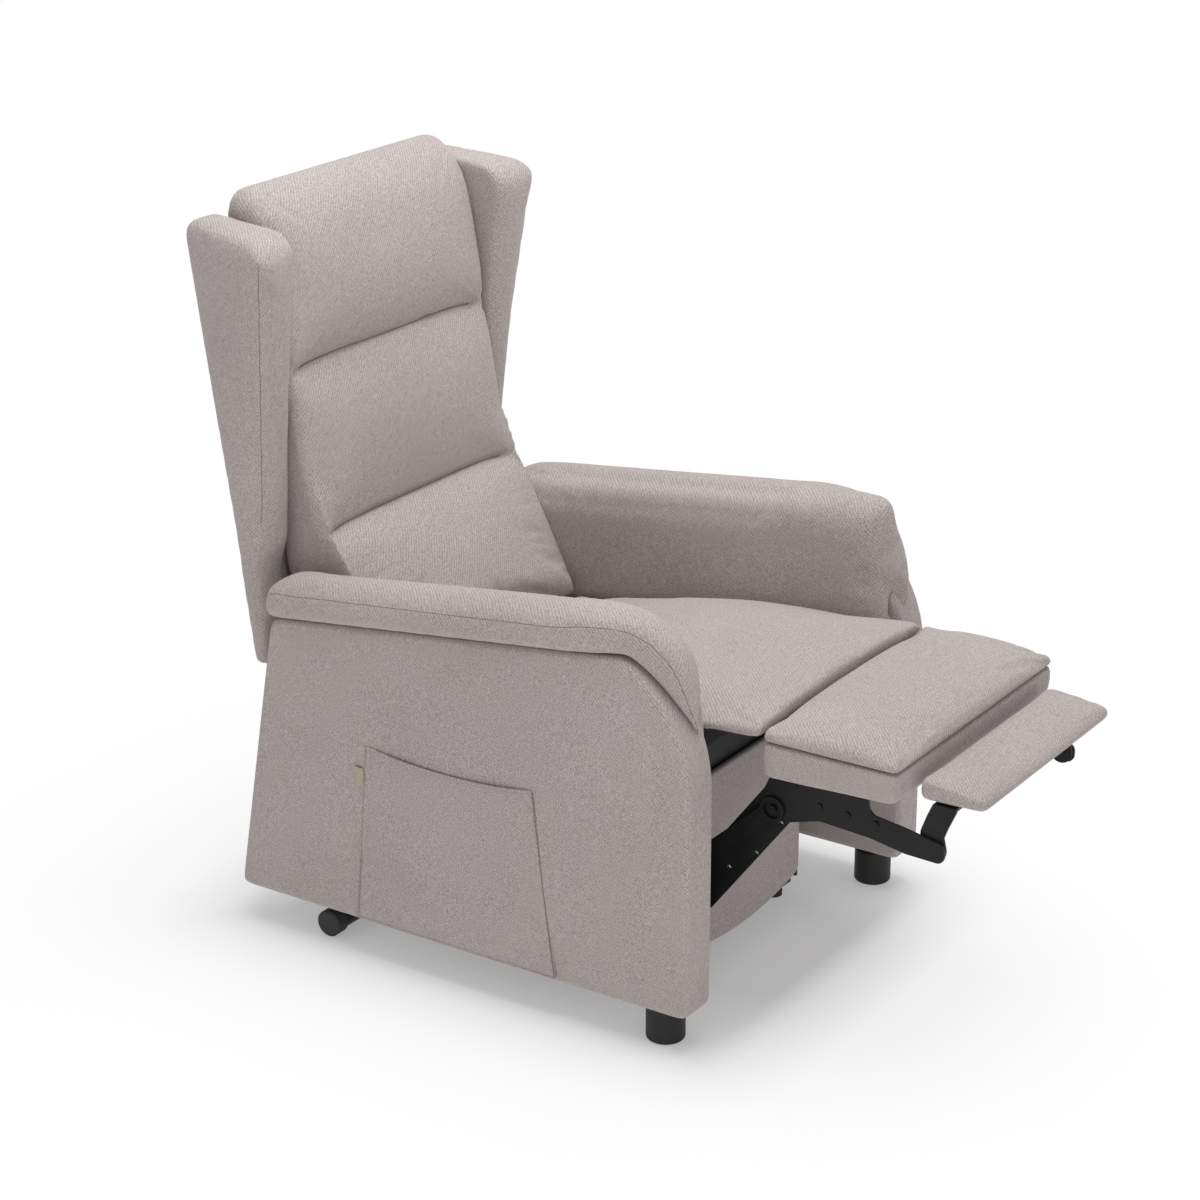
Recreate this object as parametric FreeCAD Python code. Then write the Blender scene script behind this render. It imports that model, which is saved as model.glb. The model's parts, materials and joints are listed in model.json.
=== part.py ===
import FreeCAD, Part
import math
import os

# Lift recliner, millimetres. X runs across the chair, the sitter faces -Y, Z is up.
# The origin lies on the floor under the middle of the chair with its footrest out.

V = FreeCAD.Vector
ORIGIN = V(0, 0, 0)
X_AXIS = V(1, 0, 0)
Z_AXIS = V(0, 0, 1)

# Running clearances
PIN_GAP = 0.05          # around a pivot pin
REST_GAP = 0.3          # between a soft piece and what it rests on
PLATE_GAP = 1.0         # between two plates that swing past each other
SIDE_GAP = 2.5          # between the seat or lumbar cushion and the arm beside it
CUSHION_GAP = 0.5       # between two back cushions

# Side panels
PANEL_OUTSIDE = 360.0   # half the width over the panels
PANEL_THICKNESS = 70.0
PANEL_INSIDE = PANEL_OUTSIDE - PANEL_THICKNESS
PANEL_BOTTOM = 57.0
PANEL_FRONT = -269.0
PANEL_FRONT_RADIUS = 229.0      # the front edge curves back on this radius
PANEL_FRONT_RISE = 199.0        # height of that curve, up to the arm
PANEL_REAR_BOTTOM = 578.0
PANEL_REAR_TOP = 496.0
PANEL_EDGE_RADIUS = 13.0
CORE_THICKNESS = 18.0
CORE_INSET = 45.0
CORE_TOP_INSET = 27.0
CORE_ABOVE_BOTTOM = 12.0

# Seat
SEAT_FRONT = -316.0
SEAT_FRONT_TOP = 508.0
SEAT_MIDDLE_Y = -18.0
SEAT_MIDDLE_TOP = 484.0
SEAT_REAR = 346.0
SEAT_REAR_TOP = 420.0
SEAT_FLAP_BOTTOM = 481.0
SEAT_FLAP_SLOPE = 12.0  # how much lower the flap's underside is where it meets the block
SEAT_BLOCK_FRONT = -188.0
SEAT_BLOCK_BOTTOM = 400.0
SEAT_REAR_BOTTOM = 345.0
SEAT_CROWN = 20.0
SEAT_EDGE_DROP = 16.0

# Arm pads: their crown falls towards the back
ARM_SLOPE = 0.118
ARM_ABOVE_SEAT = 172.0
ARM_CROWN = SEAT_MIDDLE_TOP + ARM_ABOVE_SEAT    # height of the crown at ARM_CROWN_Y
ARM_CROWN_Y = -23.0
ARM_BELOW_SEAT = 56.0
ARM_SKIRT = ARM_ABOVE_SEAT + ARM_BELOW_SEAT     # drop from the crown to the lower edge inside
ARM_ROLL = 62.0         # depth of the roll over the panel
ARM_OVERHANG = 17.0
ARM_NOSE_GAP = 1.0      # between the nose and the panel's curved front edge
ARM_NOSE = [            # degrees forward of upright, crown's distance from that curve's centre, overhang
    (15.0, 265.0, 12.0),
    (24.0, 280.0, 5.0),
    (30.0, 287.0, -1.0),
    (40.0, 286.0, -8.0),
    (48.0, 273.0, -15.0),
    (56.0, 256.0, -24.0),
    (64.0, 244.0, -36.0),
    (71.0, 237.0, -50.0),
    (78.0, 234.0, -62.0),
]
ARM_WIDTH_INSIDE = 34.5
ARM_INSIDE = PANEL_INSIDE - ARM_WIDTH_INSIDE
ARM_REAR = 511.0
ARM_REAR_TILT = 0.04
SEAT_HALF = ARM_INSIDE - SIDE_GAP

# Front legs
LEG_RADIUS = 30.0
LEG_X = (PANEL_INSIDE + PANEL_OUTSIDE) / 2 - 5
LEG_Y = -207.0
LEG_FOOT_RADIUS = 5.0
LEG_STUD_RADIUS = 5.0
LEG_STUD_LENGTH = 30.0
LEG_STUD_IN_LEG = 20.0

# Wings
WING_INSIDE = 262.0
WING_OUTSIDE = 330.0
WING_BOTTOM = 432.0
WING_TOP = 1134.0
WING_EDGE_RADIUS = 14.0
WING_FRONTS = [         # height, outer front edge as (x, y), inner front edge y
    (440.0, 328.0, 525.0, 525.0),
    (600.0, 328.0, 545.0, 545.0),
    (640.0, 324.0, 542.0, 528.0),
    (672.0, 321.0, 532.0, 503.0),
    (867.0, 338.0, 511.0, 493.0),
    (1080.0, 363.0, 485.0, 478.0),
    (1118.0, 366.0, 483.0, 478.0),
]

# Back: everything leans by BACK_LEAN about the rear line
BACK_LEAN = 8.6
BACK_REAR_Y = 575.0     # the rear face at height BACK_REAR_Z
BACK_REAR_Z = 557.0
BACK_HALF = WING_INSIDE - REST_GAP
LUMBAR_HALF = ARM_INSIDE - SIDE_GAP
BACK_CROWN = 8.0
BACK_EDGE_DROP = 17.0
BACK_TOP = 1168.0
BACK_TOP_FRONT = 566.0  # the front face's y at the top, at both seams and at the bottom
UPPER_SEAM = 900.0
UPPER_SEAM_FRONT = 521.0
LOWER_SEAM = 647.0
LOWER_SEAM_FRONT = 468.0
LUMBAR_BOTTOM = 418.0
LUMBAR_BOTTOM_FRONT = 324.0
HEAD_BULGE = 10.0
MIDDLE_BULGE = 7.0
LUMBAR_BULGE = 15.0
HEAD_TOP_RADIUS = 34.0
SEAM_RADIUS = 22.0
SHELL_THICKNESS = 26.0
SHELL_TOP = 1122.0
SHELL_BOTTOM = 300.0
SHELL_HALF = WING_INSIDE - REST_GAP
SHELL_LOWER_HALF = ARM_INSIDE - 12.5
SHELL_STEP = 432.0      # below this height the shell is narrow
SHELL_CORNER_RADIUS = 16.0
FRAME_DEPTH = 25.0
FRAME_WIDTH = 30.0
FRAME_INSET = 26.7
FRAME_HALF = SHELL_HALF - FRAME_INSET
FRAME_BOTTOM = 330.0
FRAME_MIDDLE = 700.0
FRAME_TOP = 1080.0
STRAP_THICKNESS = 2.5
LEAN_COSINE = math.cos(math.radians(BACK_LEAN))
CUSHION_SEAT_DEPTH = (SHELL_THICKNESS + FRAME_DEPTH + STRAP_THICKNESS + REST_GAP) / LEAN_COSINE

# Front panel
APRON_Y = -152.0
APRON_THICKNESS = 14.0
APRON_HALF = 173.0
APRON_TOP = 335.0
APRON_BOTTOM = 58.0
APRON_SAG = 24.0

# Footrest
FOOT_HALF = 253.0
FOOT_REAR = -321.0
FOOT_FRONT = -546.0
FOOT_BOX_FRONT = -540.0
FOOT_BOX_REAR_BOTTOM = 424.0
FOOT_BOX_FRONT_BOTTOM = 432.0
FOOT_BOX_TOP = 480.0
FOOT_PAD_SIDE_TOP = 493.0
FOOT_PAD_CROWN = 22.0
FLIP_HALF = 208.0
FLIP_REAR = -551.0
FLIP_FRONT = -661.0
FLIP_REAR_BOTTOM = 431.0
FLIP_FRONT_BOTTOM = 433.0
FLIP_REAR_TOP = 467.0
FLIP_FRONT_TOP = 456.0

# Planes of the mechanism, distances from the middle of the chair to each plate's inner face
LINK_PLATE = 4.0
LIFT_ARM_X = 204.0
LIFT_ARM_PLATE = 6.0
LIFT_ARM_WIDTH = 36.0
BRACKET_X = LIFT_ARM_X + LIFT_ARM_PLATE + PLATE_GAP
BRACKET_PLATE = 4.0
CONTROL_ARM_X = BRACKET_X + BRACKET_PLATE + 1.5 * PLATE_GAP
FRONT_LINK_X = LIFT_ARM_X + PLATE_GAP
FRONT_LINK_PLATE = 5.0
FRONT_LINK_WIDTH = 62.0
RAIL_X = FRONT_LINK_X + FRONT_LINK_PLATE + PLATE_GAP
REAR_LINK_X = RAIL_X + LINK_PLATE + PLATE_GAP
REAR_LINK_WIDTH = 26.0
SIDE_PLATE_X = CONTROL_ARM_X + LINK_PLATE + 1.5 * PLATE_GAP
FLIP_BRACKET_WIDTH = 36.0

# Pivots, as (y, z)
LIFT_PIVOT = (-98.0, 50.0)
LIFT_TOP = (382.0, 110.0)
CONTROL_PIVOT = (-70.0, 107.83)
CONTROL_TOP = (382.0, 190.0)
BACK_PIVOT = (400.0, 320.0)
FOOT_PIVOT = (-193.5, 191.0)
FOOT_KNEE = (-338.0, 383.0)
REAR_LINK_PIVOT = (-73.6, 137.9)
REAR_LINK_TOP = (-323.0, 363.0)
FLIP_PIVOT = (-583.0, 362.0)
FOOT_DRIVE = (-90.0, 226.4)
BACK_DRIVE = (420.0, 253.0)
LIFT_DRIVE = (-87.6, 109.1)
LIFT_MOTOR_PIVOT = (300.0, 75.0)
FRONT_TUBE = (-20.0, 268.0)
REAR_TUBE = (330.0, 216.0)
FLOOR_TUBE = (414.0, 22.0)
BACK_MOTOR_PIVOT = (FRONT_TUBE[0] + 28.0, BACK_DRIVE[1])
FOOT_MOTOR_PIVOT = (REAR_TUBE[0] - 34.0, FOOT_DRIVE[1])

PIN_RADIUS = 6.0
PIN_HEAD_RADIUS = 10.0
PIN_HEAD = 3.0
TUBE_RADIUS = 12.5
TUBE_WALL = 2.0
DRIVE_TUBE_RADIUS = 11.0
FLOOR_TUBE_RADIUS = 19.0
FLOOR_CAP_RADIUS = 22.0
FLOOR_CAP_END = 343.0
FLOOR_CAP_DEPTH = 26.0
FLOOR_CAP_WALL = 4.0
FLOOR_CAP_CHAMFER = 2.5
FLOOR_RAIL_X = 180.0
FLOOR_RAIL_WIDTH = 24.0
FLOOR_RAIL_BOTTOM = 14.0
FLOOR_RAIL_TOP = 42.0
FLOOR_BEAM_DEPTH = 28.0
FLOOR_BEAM_DROP = 24.0  # from the lift pivot down to the front beam
GLIDE_RADIUS = 16.0
GLIDE_HEIGHT = 12.0

# Actuators
ACTUATOR_RADIUS = 20.0
ACTUATOR_BORE = 11.5
ROD_RADIUS = 10.5
EYE_RADIUS = 15.0
EYE_WIDTH = 16.0
FORK_HALF = ROD_RADIUS + 1.0    # from the middle of a rod to the plates beside its eye
LIFT_EYE_PLAY = 4.0
BACK_EYE_PLAY = 4.0
FOOT_EYE_PLAY = 2.5
REAR_LINK_PLAY = 8.6
CONTROL_PLAY = 4.0
BACK_ACTUATOR_X = 70.0
FOOT_ACTUATOR_X = -70.0

# Rails of wood
SIDE_RAIL_BELOW_ARM = 30.0
SIDE_RAIL_HEIGHT = 45.0
SIDE_RAIL_TOP = ARM_CROWN - ARM_SLOPE * (ARM_REAR - ARM_CROWN_Y) - ARM_SKIRT - SIDE_RAIL_BELOW_ARM
SIDE_RAIL_BOTTOM = SIDE_RAIL_TOP - SIDE_RAIL_HEIGHT
SIDE_RAIL_FRONT = -180.0
SIDE_RAIL_REAR = 430.0
FRONT_RAIL_DEPTH = 33.0
FRONT_RAIL_TOP = 388.0
FRONT_RAIL_HEIGHT = 66.0
REAR_RAIL_Y = 343.0
REAR_RAIL_DEPTH = 28.0
REAR_RAIL_TOP = 336.0
REAR_RAIL_HEIGHT = 38.0
LOW_RAIL_Y = 528.0
LOW_RAIL_DEPTH = 22.0
LOW_RAIL_HEIGHT = 70.0
SEAT_STRAP_COUNT = 5
SEAT_STRAP_WIDTH = 50.0
SEAT_STRAP_PITCH = 84.0
SEAT_STRAP_THICKNESS = 3.0
BACK_STRAP_COUNT = 6
BACK_STRAP_HEIGHT = 48.0
BACK_STRAP_PITCH = 110.0
BACK_STRAP_BOTTOM = 450.0

# Side pocket, on the sitter's right
POCKET_DEPTH = 8.0
POCKET_CLOTH = 2.0
POCKET_INSET = 14.0
POCKET_REAR_TOP = (310.0, 363.0)
POCKET_SAG = (120.0, 352.0)
POCKET_FRONT_TOP = (2.0, 364.0)
POCKET_FRONT_BOTTOM = (-38.0, 66.0)
POCKET_REAR_BOTTOM = (337.0, 66.0)
LABEL_FRONT = 317.0
LABEL_REAR = 329.0
LABEL_BOTTOM = 294.0
LABEL_TOP = 326.0
LABEL_THICKNESS = 1.2


def save(name, shape):
    """Write one sub-part."""
    shape.exportStep("parts/" + name + ".step")


def group(shapes):
    """Several separate solids in one sub-part."""
    return Part.makeCompound(shapes)


def mirrored(shape):
    """The same piece for the other side of the chair."""
    return shape.mirror(ORIGIN, X_AXIS)


def pair(shape):
    """The piece on both sides of the chair."""
    return group([shape, mirrored(shape)])


def at(x, place):
    """A point at distance x across the chair, with place as (y, z)."""
    return V(x, place[0], place[1])


def rounded_wire(points, radii, bulges=None):
    """A closed outline with an arc at each corner; a side with a bulge is an arc as well."""
    count = len(points)
    bulges = bulges or [0] * count
    starts = []
    middles = []
    ends = []
    for i in range(count):
        corner = points[i]
        to_last = (points[i - 1] - corner).normalize()
        to_next = (points[(i + 1) % count] - corner).normalize()
        half = to_last.getAngle(to_next) / 2
        run = radii[i] / math.tan(half)
        inward = (to_last + to_next).normalize()
        starts.append(corner + to_last * run)
        ends.append(corner + to_next * run)
        middles.append(corner + inward * (radii[i] / math.sin(half) - radii[i]))
    centre = ORIGIN
    for point in points:
        centre = centre + point * (1.0 / count)
    edges = []
    for i in range(count):
        after = (i + 1) % count
        edges.append(Part.Arc(starts[i], middles[i], ends[i]).toShape())
        if bulges[i]:
            middle = (ends[i] + starts[after]) * 0.5
            along = (starts[after] - ends[i]).normalize()
            away = middle - centre
            away = (away - along * away.dot(along)).normalize()
            edges.append(Part.Arc(ends[i], middle + away * bulges[i], starts[after]).toShape())
        else:
            edges.append(Part.LineSegment(ends[i], starts[after]).toShape())
    return Part.Wire(edges)


def side_wire(x, places, radii, bulges=None):
    """A rounded outline in the plane at distance x across the chair."""
    return rounded_wire([at(x, place) for place in places], radii, bulges)


def loft(wires, ruled=False):
    """A closed solid through the outlines."""
    return Part.makeLoft(wires, True, ruled)


def cylinder_x(place, radius, x_start, x_end):
    """A round bar along X."""
    return Part.makeCylinder(radius, x_end - x_start, at(x_start, place), X_AXIS)


def tube_x(place, radius, wall, x_start, x_end):
    """A hollow round tube along X."""
    outer = cylinder_x(place, radius, x_start, x_end)
    return outer.cut(cylinder_x(place, radius - wall, x_start - 1, x_end + 1))


def box(x_start, x_end, y_start, y_end, z_start, z_end):
    """A block between two corners."""
    return Part.makeBox(x_end - x_start, y_end - y_start, z_end - z_start, V(x_start, y_start, z_start))


def link(start, end, width, x_start, thickness, holes):
    """A flat link with round ends; holes are (place, radius)."""
    a = at(x_start, start)
    b = at(x_start, end)
    along = (b - a).normalize()
    side = X_AXIS.cross(along) * (width / 2)
    tip = along * (width / 2)
    edges = [
        Part.LineSegment(a + side, b + side).toShape(),
        Part.Arc(b + side, b + tip, b - side).toShape(),
        Part.LineSegment(b - side, a - side).toShape(),
        Part.Arc(a - side, a - tip, a + side).toShape(),
    ]
    solid = Part.Face(Part.Wire(edges)).extrude(V(thickness, 0, 0))
    return drilled(solid, holes, x_start, thickness)


def drilled(solid, holes, x_start, thickness):
    """The plate with its pivot holes."""
    for place, radius in holes:
        solid = solid.cut(cylinder_x(place, radius, x_start - 1, x_start + thickness + 1))
    return solid


def plate(places, radii, x_start, thickness, holes):
    """A flat plate with rounded corners and pivot holes."""
    face = Part.Face(side_wire(x_start, places, radii))
    return drilled(face.extrude(V(thickness, 0, 0)), holes, x_start, thickness)


def pin(place, x_start, x_end):
    """A pivot pin with a flat head at its inner end."""
    shank = cylinder_x(place, PIN_RADIUS, x_start, x_end)
    head = cylinder_x(place, PIN_HEAD_RADIUS, x_start - PIN_HEAD, x_start)
    return shank.fuse(head).removeSplitter()


def between(start, end, share):
    """The place part of the way from start to end."""
    return (start[0] + (end[0] - start[0]) * share, start[1] + (end[1] - start[1]) * share)


def distance(start, end):
    """The straight distance between two places."""
    return math.hypot(end[0] - start[0], end[1] - start[1])


PIN_HOLE = PIN_RADIUS + PIN_GAP


def floor_base():
    """The steel base that stays on the floor, with its rear tube on rubber caps."""
    cap_start = FLOOR_CAP_END - FLOOR_CAP_DEPTH
    tube_end = FLOOR_CAP_END - FLOOR_CAP_WALL
    tube = tube_x(FLOOR_TUBE, FLOOR_TUBE_RADIUS, TUBE_WALL, -tube_end, tube_end)
    save("floor_rear_tube", tube)
    cap = cylinder_x(FLOOR_TUBE, FLOOR_CAP_RADIUS, cap_start, FLOOR_CAP_END)
    cap = cap.makeChamfer(FLOOR_CAP_CHAMFER, [cap.Edges[0], cap.Edges[2]])
    cap = cap.cut(cylinder_x(FLOOR_TUBE, FLOOR_TUBE_RADIUS, cap_start - 1, tube_end))
    save("floor_tube_caps", pair(cap))

    rail_half = FLOOR_RAIL_WIDTH / 2
    front_y = LIFT_PIVOT[0]
    front_top = LIFT_PIVOT[1] - FLOOR_BEAM_DROP
    beam_rear = front_y + FLOOR_BEAM_DEPTH / 2
    beam = box(-BRACKET_X - BRACKET_PLATE, BRACKET_X + BRACKET_PLATE, front_y - FLOOR_BEAM_DEPTH / 2,
               beam_rear, GLIDE_HEIGHT, front_top)
    rail = box(FLOOR_RAIL_X - rail_half, FLOOR_RAIL_X + rail_half, beam_rear, FLOOR_TUBE[0],
               FLOOR_RAIL_BOTTOM, FLOOR_RAIL_TOP)
    rail = rail.cut(cylinder_x(FLOOR_TUBE, FLOOR_TUBE_RADIUS, 0, PANEL_INSIDE))
    rail = largest(rail)
    save("floor_rails", group([beam, rail, mirrored(rail)]))
    glide = Part.makeCylinder(GLIDE_RADIUS, GLIDE_HEIGHT, V(FLOOR_RAIL_X, front_y, 0), Z_AXIS)
    save("floor_front_glides", pair(glide))

    bracket_front = front_y - 26
    bracket_rear = front_y + 60
    bracket = plate([(bracket_front, front_top), (bracket_rear, front_top),
                     (bracket_rear, CONTROL_PIVOT[1] - 8),
                     (CONTROL_PIVOT[0] + 16, CONTROL_PIVOT[1] + 14),
                     (CONTROL_PIVOT[0] - 16, CONTROL_PIVOT[1] + 14),
                     (bracket_front, LIFT_PIVOT[1] + 16)],
                    [2, 2, 10, 10, 10, 10], BRACKET_X, BRACKET_PLATE,
                    [(LIFT_PIVOT, PIN_HOLE), (CONTROL_PIVOT, PIN_HOLE)])
    save("lift_pivot_brackets", pair(bracket))
    bracket_end = BRACKET_X + BRACKET_PLATE
    low_pin = pin(LIFT_PIVOT, LIFT_ARM_X - 1, bracket_end)
    high_pin = cylinder_x(CONTROL_PIVOT, PIN_RADIUS, BRACKET_X, CONTROL_ARM_X + LINK_PLATE)
    save("lift_pivot_pins", group([low_pin, high_pin, mirrored(low_pin), mirrored(high_pin)]))

    ear_x = EYE_WIDTH / 2 + 2
    ear = link(FLOOR_TUBE, LIFT_MOTOR_PIVOT, 34.0, ear_x, LINK_PLATE,
               [(LIFT_MOTOR_PIVOT, PIN_HOLE), (FLOOR_TUBE, FLOOR_TUBE_RADIUS)])
    ear = largest(ear)
    motor_pin = cylinder_x(LIFT_MOTOR_PIVOT, PIN_RADIUS, -ear_x - LINK_PLATE, ear_x + LINK_PLATE)
    save("lift_motor_bracket", group([ear, mirrored(ear), motor_pin]))


def largest(shape):
    """The biggest solid of a cut, without its slivers."""
    return sorted(shape.Solids, key=lambda solid: solid.Volume)[-1]


def lift_arms():
    """The long arms that raise the chair, joined by a tube with the motor's lever."""
    arm = link(LIFT_PIVOT, LIFT_TOP, LIFT_ARM_WIDTH, LIFT_ARM_X, LIFT_ARM_PLATE,
               [(LIFT_PIVOT, PIN_HOLE), (LIFT_TOP, PIN_HOLE)])
    save("lift_arms", pair(arm))
    tube = tube_x(LIFT_PIVOT, TUBE_RADIUS, TUBE_WALL, -LIFT_ARM_X + PIN_HEAD + 1.5,
                  LIFT_ARM_X - PIN_HEAD - 1.5)
    lever_x = FORK_HALF
    lever = link(LIFT_PIVOT, LIFT_DRIVE, 28.0, lever_x, LINK_PLATE,
                 [(LIFT_PIVOT, TUBE_RADIUS), (LIFT_DRIVE, PIN_RADIUS)])
    save("lift_arm_tube", tube)
    lever_pin = cylinder_x(LIFT_DRIVE, PIN_RADIUS, -lever_x - LINK_PLATE, lever_x + LINK_PLATE)
    save("lift_levers", group([lever, mirrored(lever), lever_pin]))
    arm = link(CONTROL_PIVOT, CONTROL_TOP, 24.0, CONTROL_ARM_X, LINK_PLATE,
               [(CONTROL_PIVOT, PIN_HOLE)])
    eye = cylinder_x(CONTROL_TOP, 18.0, CONTROL_ARM_X, CONTROL_ARM_X + LINK_PLATE)
    arm = arm.fuse(eye).removeSplitter()
    arm = drilled(arm, [(CONTROL_TOP, PIN_RADIUS + CONTROL_PLAY)], CONTROL_ARM_X, LINK_PLATE)
    save("control_arms", pair(arm))


def actuator(start, end, x_middle, housing_from, housing_to, rod_from, eye_play):
    """A motor and tube, and the rod that slides in it, laid out between two pivots."""
    length = distance(start, end)
    half = EYE_WIDTH / 2
    tube = Part.makeCylinder(ACTUATOR_RADIUS, housing_to - housing_from, V(0, 0, housing_from), Z_AXIS)
    tube = tube.cut(Part.makeCylinder(ACTUATOR_BORE, housing_to, V(0, 0, housing_from + 22), Z_AXIS))
    tang = box(-half, half, -EYE_RADIUS, EYE_RADIUS, 0, housing_from + 1)
    nose = Part.makeCylinder(EYE_RADIUS, EYE_WIDTH, V(-half, 0, 0), X_AXIS)
    hole = Part.makeCylinder(PIN_HOLE, EYE_WIDTH + 2, V(-half - 1, 0, 0), X_AXIS)
    tube = tube.fuse([tang, nose]).cut(hole).removeSplitter()
    motor = box(ACTUATOR_RADIUS + 1, ACTUATOR_RADIUS + 57, -26, 26, housing_from, housing_from + 60)
    can = Part.makeCylinder(24.0, 62.0, V(ACTUATOR_RADIUS + 29, 0, housing_from + 59), Z_AXIS)
    motor = motor.makeFillet(6.0, motor.Edges).fuse(can).removeSplitter()
    collar = box(ACTUATOR_RADIUS - 4, ACTUATOR_RADIUS + 2, -12, 12, housing_from + 10, housing_from + 50)
    motor = motor.fuse(collar.cut(Part.makeCylinder(ACTUATOR_RADIUS, length, ORIGIN, Z_AXIS)))
    rod = Part.makeCylinder(ROD_RADIUS, length - rod_from, V(0, 0, rod_from), Z_AXIS)
    eye_outer = PIN_RADIUS + eye_play + 5.0
    eye = Part.makeCylinder(eye_outer, EYE_WIDTH, V(-half, 0, length), X_AXIS)
    eye_hole = Part.makeCylinder(PIN_RADIUS + eye_play, EYE_WIDTH + 8, V(-half - 4, 0, length), X_AXIS)
    rod = rod.fuse(eye).cut(eye_hole).removeSplitter()
    direction = V(0, end[0] - start[0], end[1] - start[1]).normalize()
    turn = FreeCAD.Rotation(Z_AXIS, direction)
    place = FreeCAD.Placement(at(x_middle, start), turn)
    pieces = []
    for piece in (tube, motor, largest(rod)):
        pieces.append(piece.transformGeometry(place.toMatrix()))
    return pieces


def motors():
    """The three actuators: lift, back and footrest."""
    tube, motor, rod = actuator(LIFT_MOTOR_PIVOT, LIFT_DRIVE, 0, 30.0, 300.0, 90.0, LIFT_EYE_PLAY)
    save("lift_actuator_tube", tube)
    save("lift_motor", motor)
    save("lift_rod", rod)
    tube, motor, rod = actuator(BACK_MOTOR_PIVOT, BACK_DRIVE, BACK_ACTUATOR_X, 24.0, 300.0, 90.0,
                                BACK_EYE_PLAY)
    save("back_actuator_tube", tube)
    save("back_motor", motor)
    save("back_rod", rod)
    tube, motor, rod = actuator(FOOT_MOTOR_PIVOT, FOOT_DRIVE, FOOT_ACTUATOR_X, 24.0, 290.0, 90.0,
                                FOOT_EYE_PLAY)
    save("footrest_actuator_tube", tube)
    save("footrest_motor", motor)
    save("footrest_rod", rod)


def chassis_steel():
    """Side plates, their pivot pins and the two cross tubes of the seat frame."""
    outline = [(-217, 172), (-212, 211), (-60, 298), (418, 346), (428, 318), (404, 92), (360, 92),
               (348, 168), (100, 212), (-20, 182), (-55, 116), (-93, 116), (-112, 150), (-185, 166)]
    radii = [14, 14, 20, 14, 14, 16, 16, 20, 40, 30, 14, 14, 20, 14]
    side = plate(outline, radii, SIDE_PLATE_X, LINK_PLATE,
                 [(FOOT_PIVOT, PIN_HOLE), (REAR_LINK_PIVOT, PIN_HOLE), (LIFT_TOP, PIN_HOLE),
                  (CONTROL_TOP, PIN_HOLE), (BACK_PIVOT, PIN_HOLE)])
    save("side_plates", pair(side))
    reach = SIDE_PLATE_X
    save("chassis_cross_tubes", group([tube_x(FRONT_TUBE, TUBE_RADIUS, TUBE_WALL, -reach, reach),
                                       tube_x(REAR_TUBE, TUBE_RADIUS, TUBE_WALL, -reach, reach)]))
    outside = SIDE_PLATE_X + LINK_PLATE
    pins = [
        pin(FOOT_PIVOT, FRONT_LINK_X - 1, outside),
        pin(REAR_LINK_PIVOT, REAR_LINK_X - 1, outside),
        pin(LIFT_TOP, LIFT_ARM_X - 1, outside),
        pin(CONTROL_TOP, CONTROL_ARM_X - 1, outside),
        pin(BACK_PIVOT, SIDE_PLATE_X - 9, outside),
    ]
    save("chassis_pins", group(pins + [mirrored(one) for one in pins]))
    front = clevis(FRONT_TUBE, BACK_MOTOR_PIVOT, BACK_ACTUATOR_X)
    rear = clevis(REAR_TUBE, FOOT_MOTOR_PIVOT, FOOT_ACTUATOR_X)
    save("motor_clevises", group(front + rear))


def clevis(tube_place, pivot, x_middle):
    """Two ears from a cross tube that hold an actuator's pin, and the pin."""
    inner = EYE_WIDTH / 2 + 1
    solids = []
    for x in (x_middle + inner, x_middle - inner - LINK_PLATE):
        ear = link(tube_place, pivot, 30.0, x, LINK_PLATE, [(tube_place, TUBE_RADIUS), (pivot, PIN_RADIUS)])
        solids.append(largest(ear))
    reach = inner + LINK_PLATE
    solids.append(cylinder_x(pivot, PIN_RADIUS, x_middle - reach, x_middle + reach))
    return solids


def seat_frame():
    """Wooden rails that tie the side panels together, and the straps under the seat."""
    rail = box(SIDE_PLATE_X + LINK_PLATE, PANEL_INSIDE, SIDE_RAIL_FRONT, SIDE_RAIL_REAR,
               SIDE_RAIL_BOTTOM, SIDE_RAIL_TOP)
    for place in (FOOT_PIVOT, BACK_PIVOT):
        rail = rail.cut(cylinder_x(place, PIN_RADIUS, SIDE_PLATE_X, PANEL_INSIDE))
    save("seat_side_rails", pair(rail))
    front_y = APRON_Y + APRON_THICKNESS
    reach = SIDE_PLATE_X
    front_reach = SIDE_PLATE_X + LINK_PLATE
    front = box(-front_reach, front_reach, front_y, front_y + FRONT_RAIL_DEPTH,
                FRONT_RAIL_TOP - FRONT_RAIL_HEIGHT, FRONT_RAIL_TOP)
    rear = box(-reach, reach, REAR_RAIL_Y, REAR_RAIL_Y + REAR_RAIL_DEPTH,
               REAR_RAIL_TOP - REAR_RAIL_HEIGHT, REAR_RAIL_TOP)
    strap_points = [(front_y, FRONT_RAIL_TOP), (front_y + FRONT_RAIL_DEPTH, FRONT_RAIL_TOP),
                    (REAR_RAIL_Y, REAR_RAIL_TOP), (REAR_RAIL_Y + REAR_RAIL_DEPTH, REAR_RAIL_TOP)]
    upper = [(y, z + SEAT_STRAP_THICKNESS) for y, z in reversed(strap_points)]
    straps = []
    for i in range(SEAT_STRAP_COUNT):
        x = (i - (SEAT_STRAP_COUNT - 1) / 2) * SEAT_STRAP_PITCH - SEAT_STRAP_WIDTH / 2
        corners = [at(x, place) for place in strap_points + upper]
        face = Part.Face(Part.makePolygon(corners + corners[:1]))
        straps.append(face.extrude(V(SEAT_STRAP_WIDTH, 0, 0)))
    save("seat_straps", group(straps))
    rear_rail = box(-PANEL_INSIDE, PANEL_INSIDE, LOW_RAIL_Y, LOW_RAIL_Y + LOW_RAIL_DEPTH,
                    PANEL_BOTTOM + 10, PANEL_BOTTOM + 10 + LOW_RAIL_HEIGHT)
    save("cross_rails", group([front, rear, rear_rail]))


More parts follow.
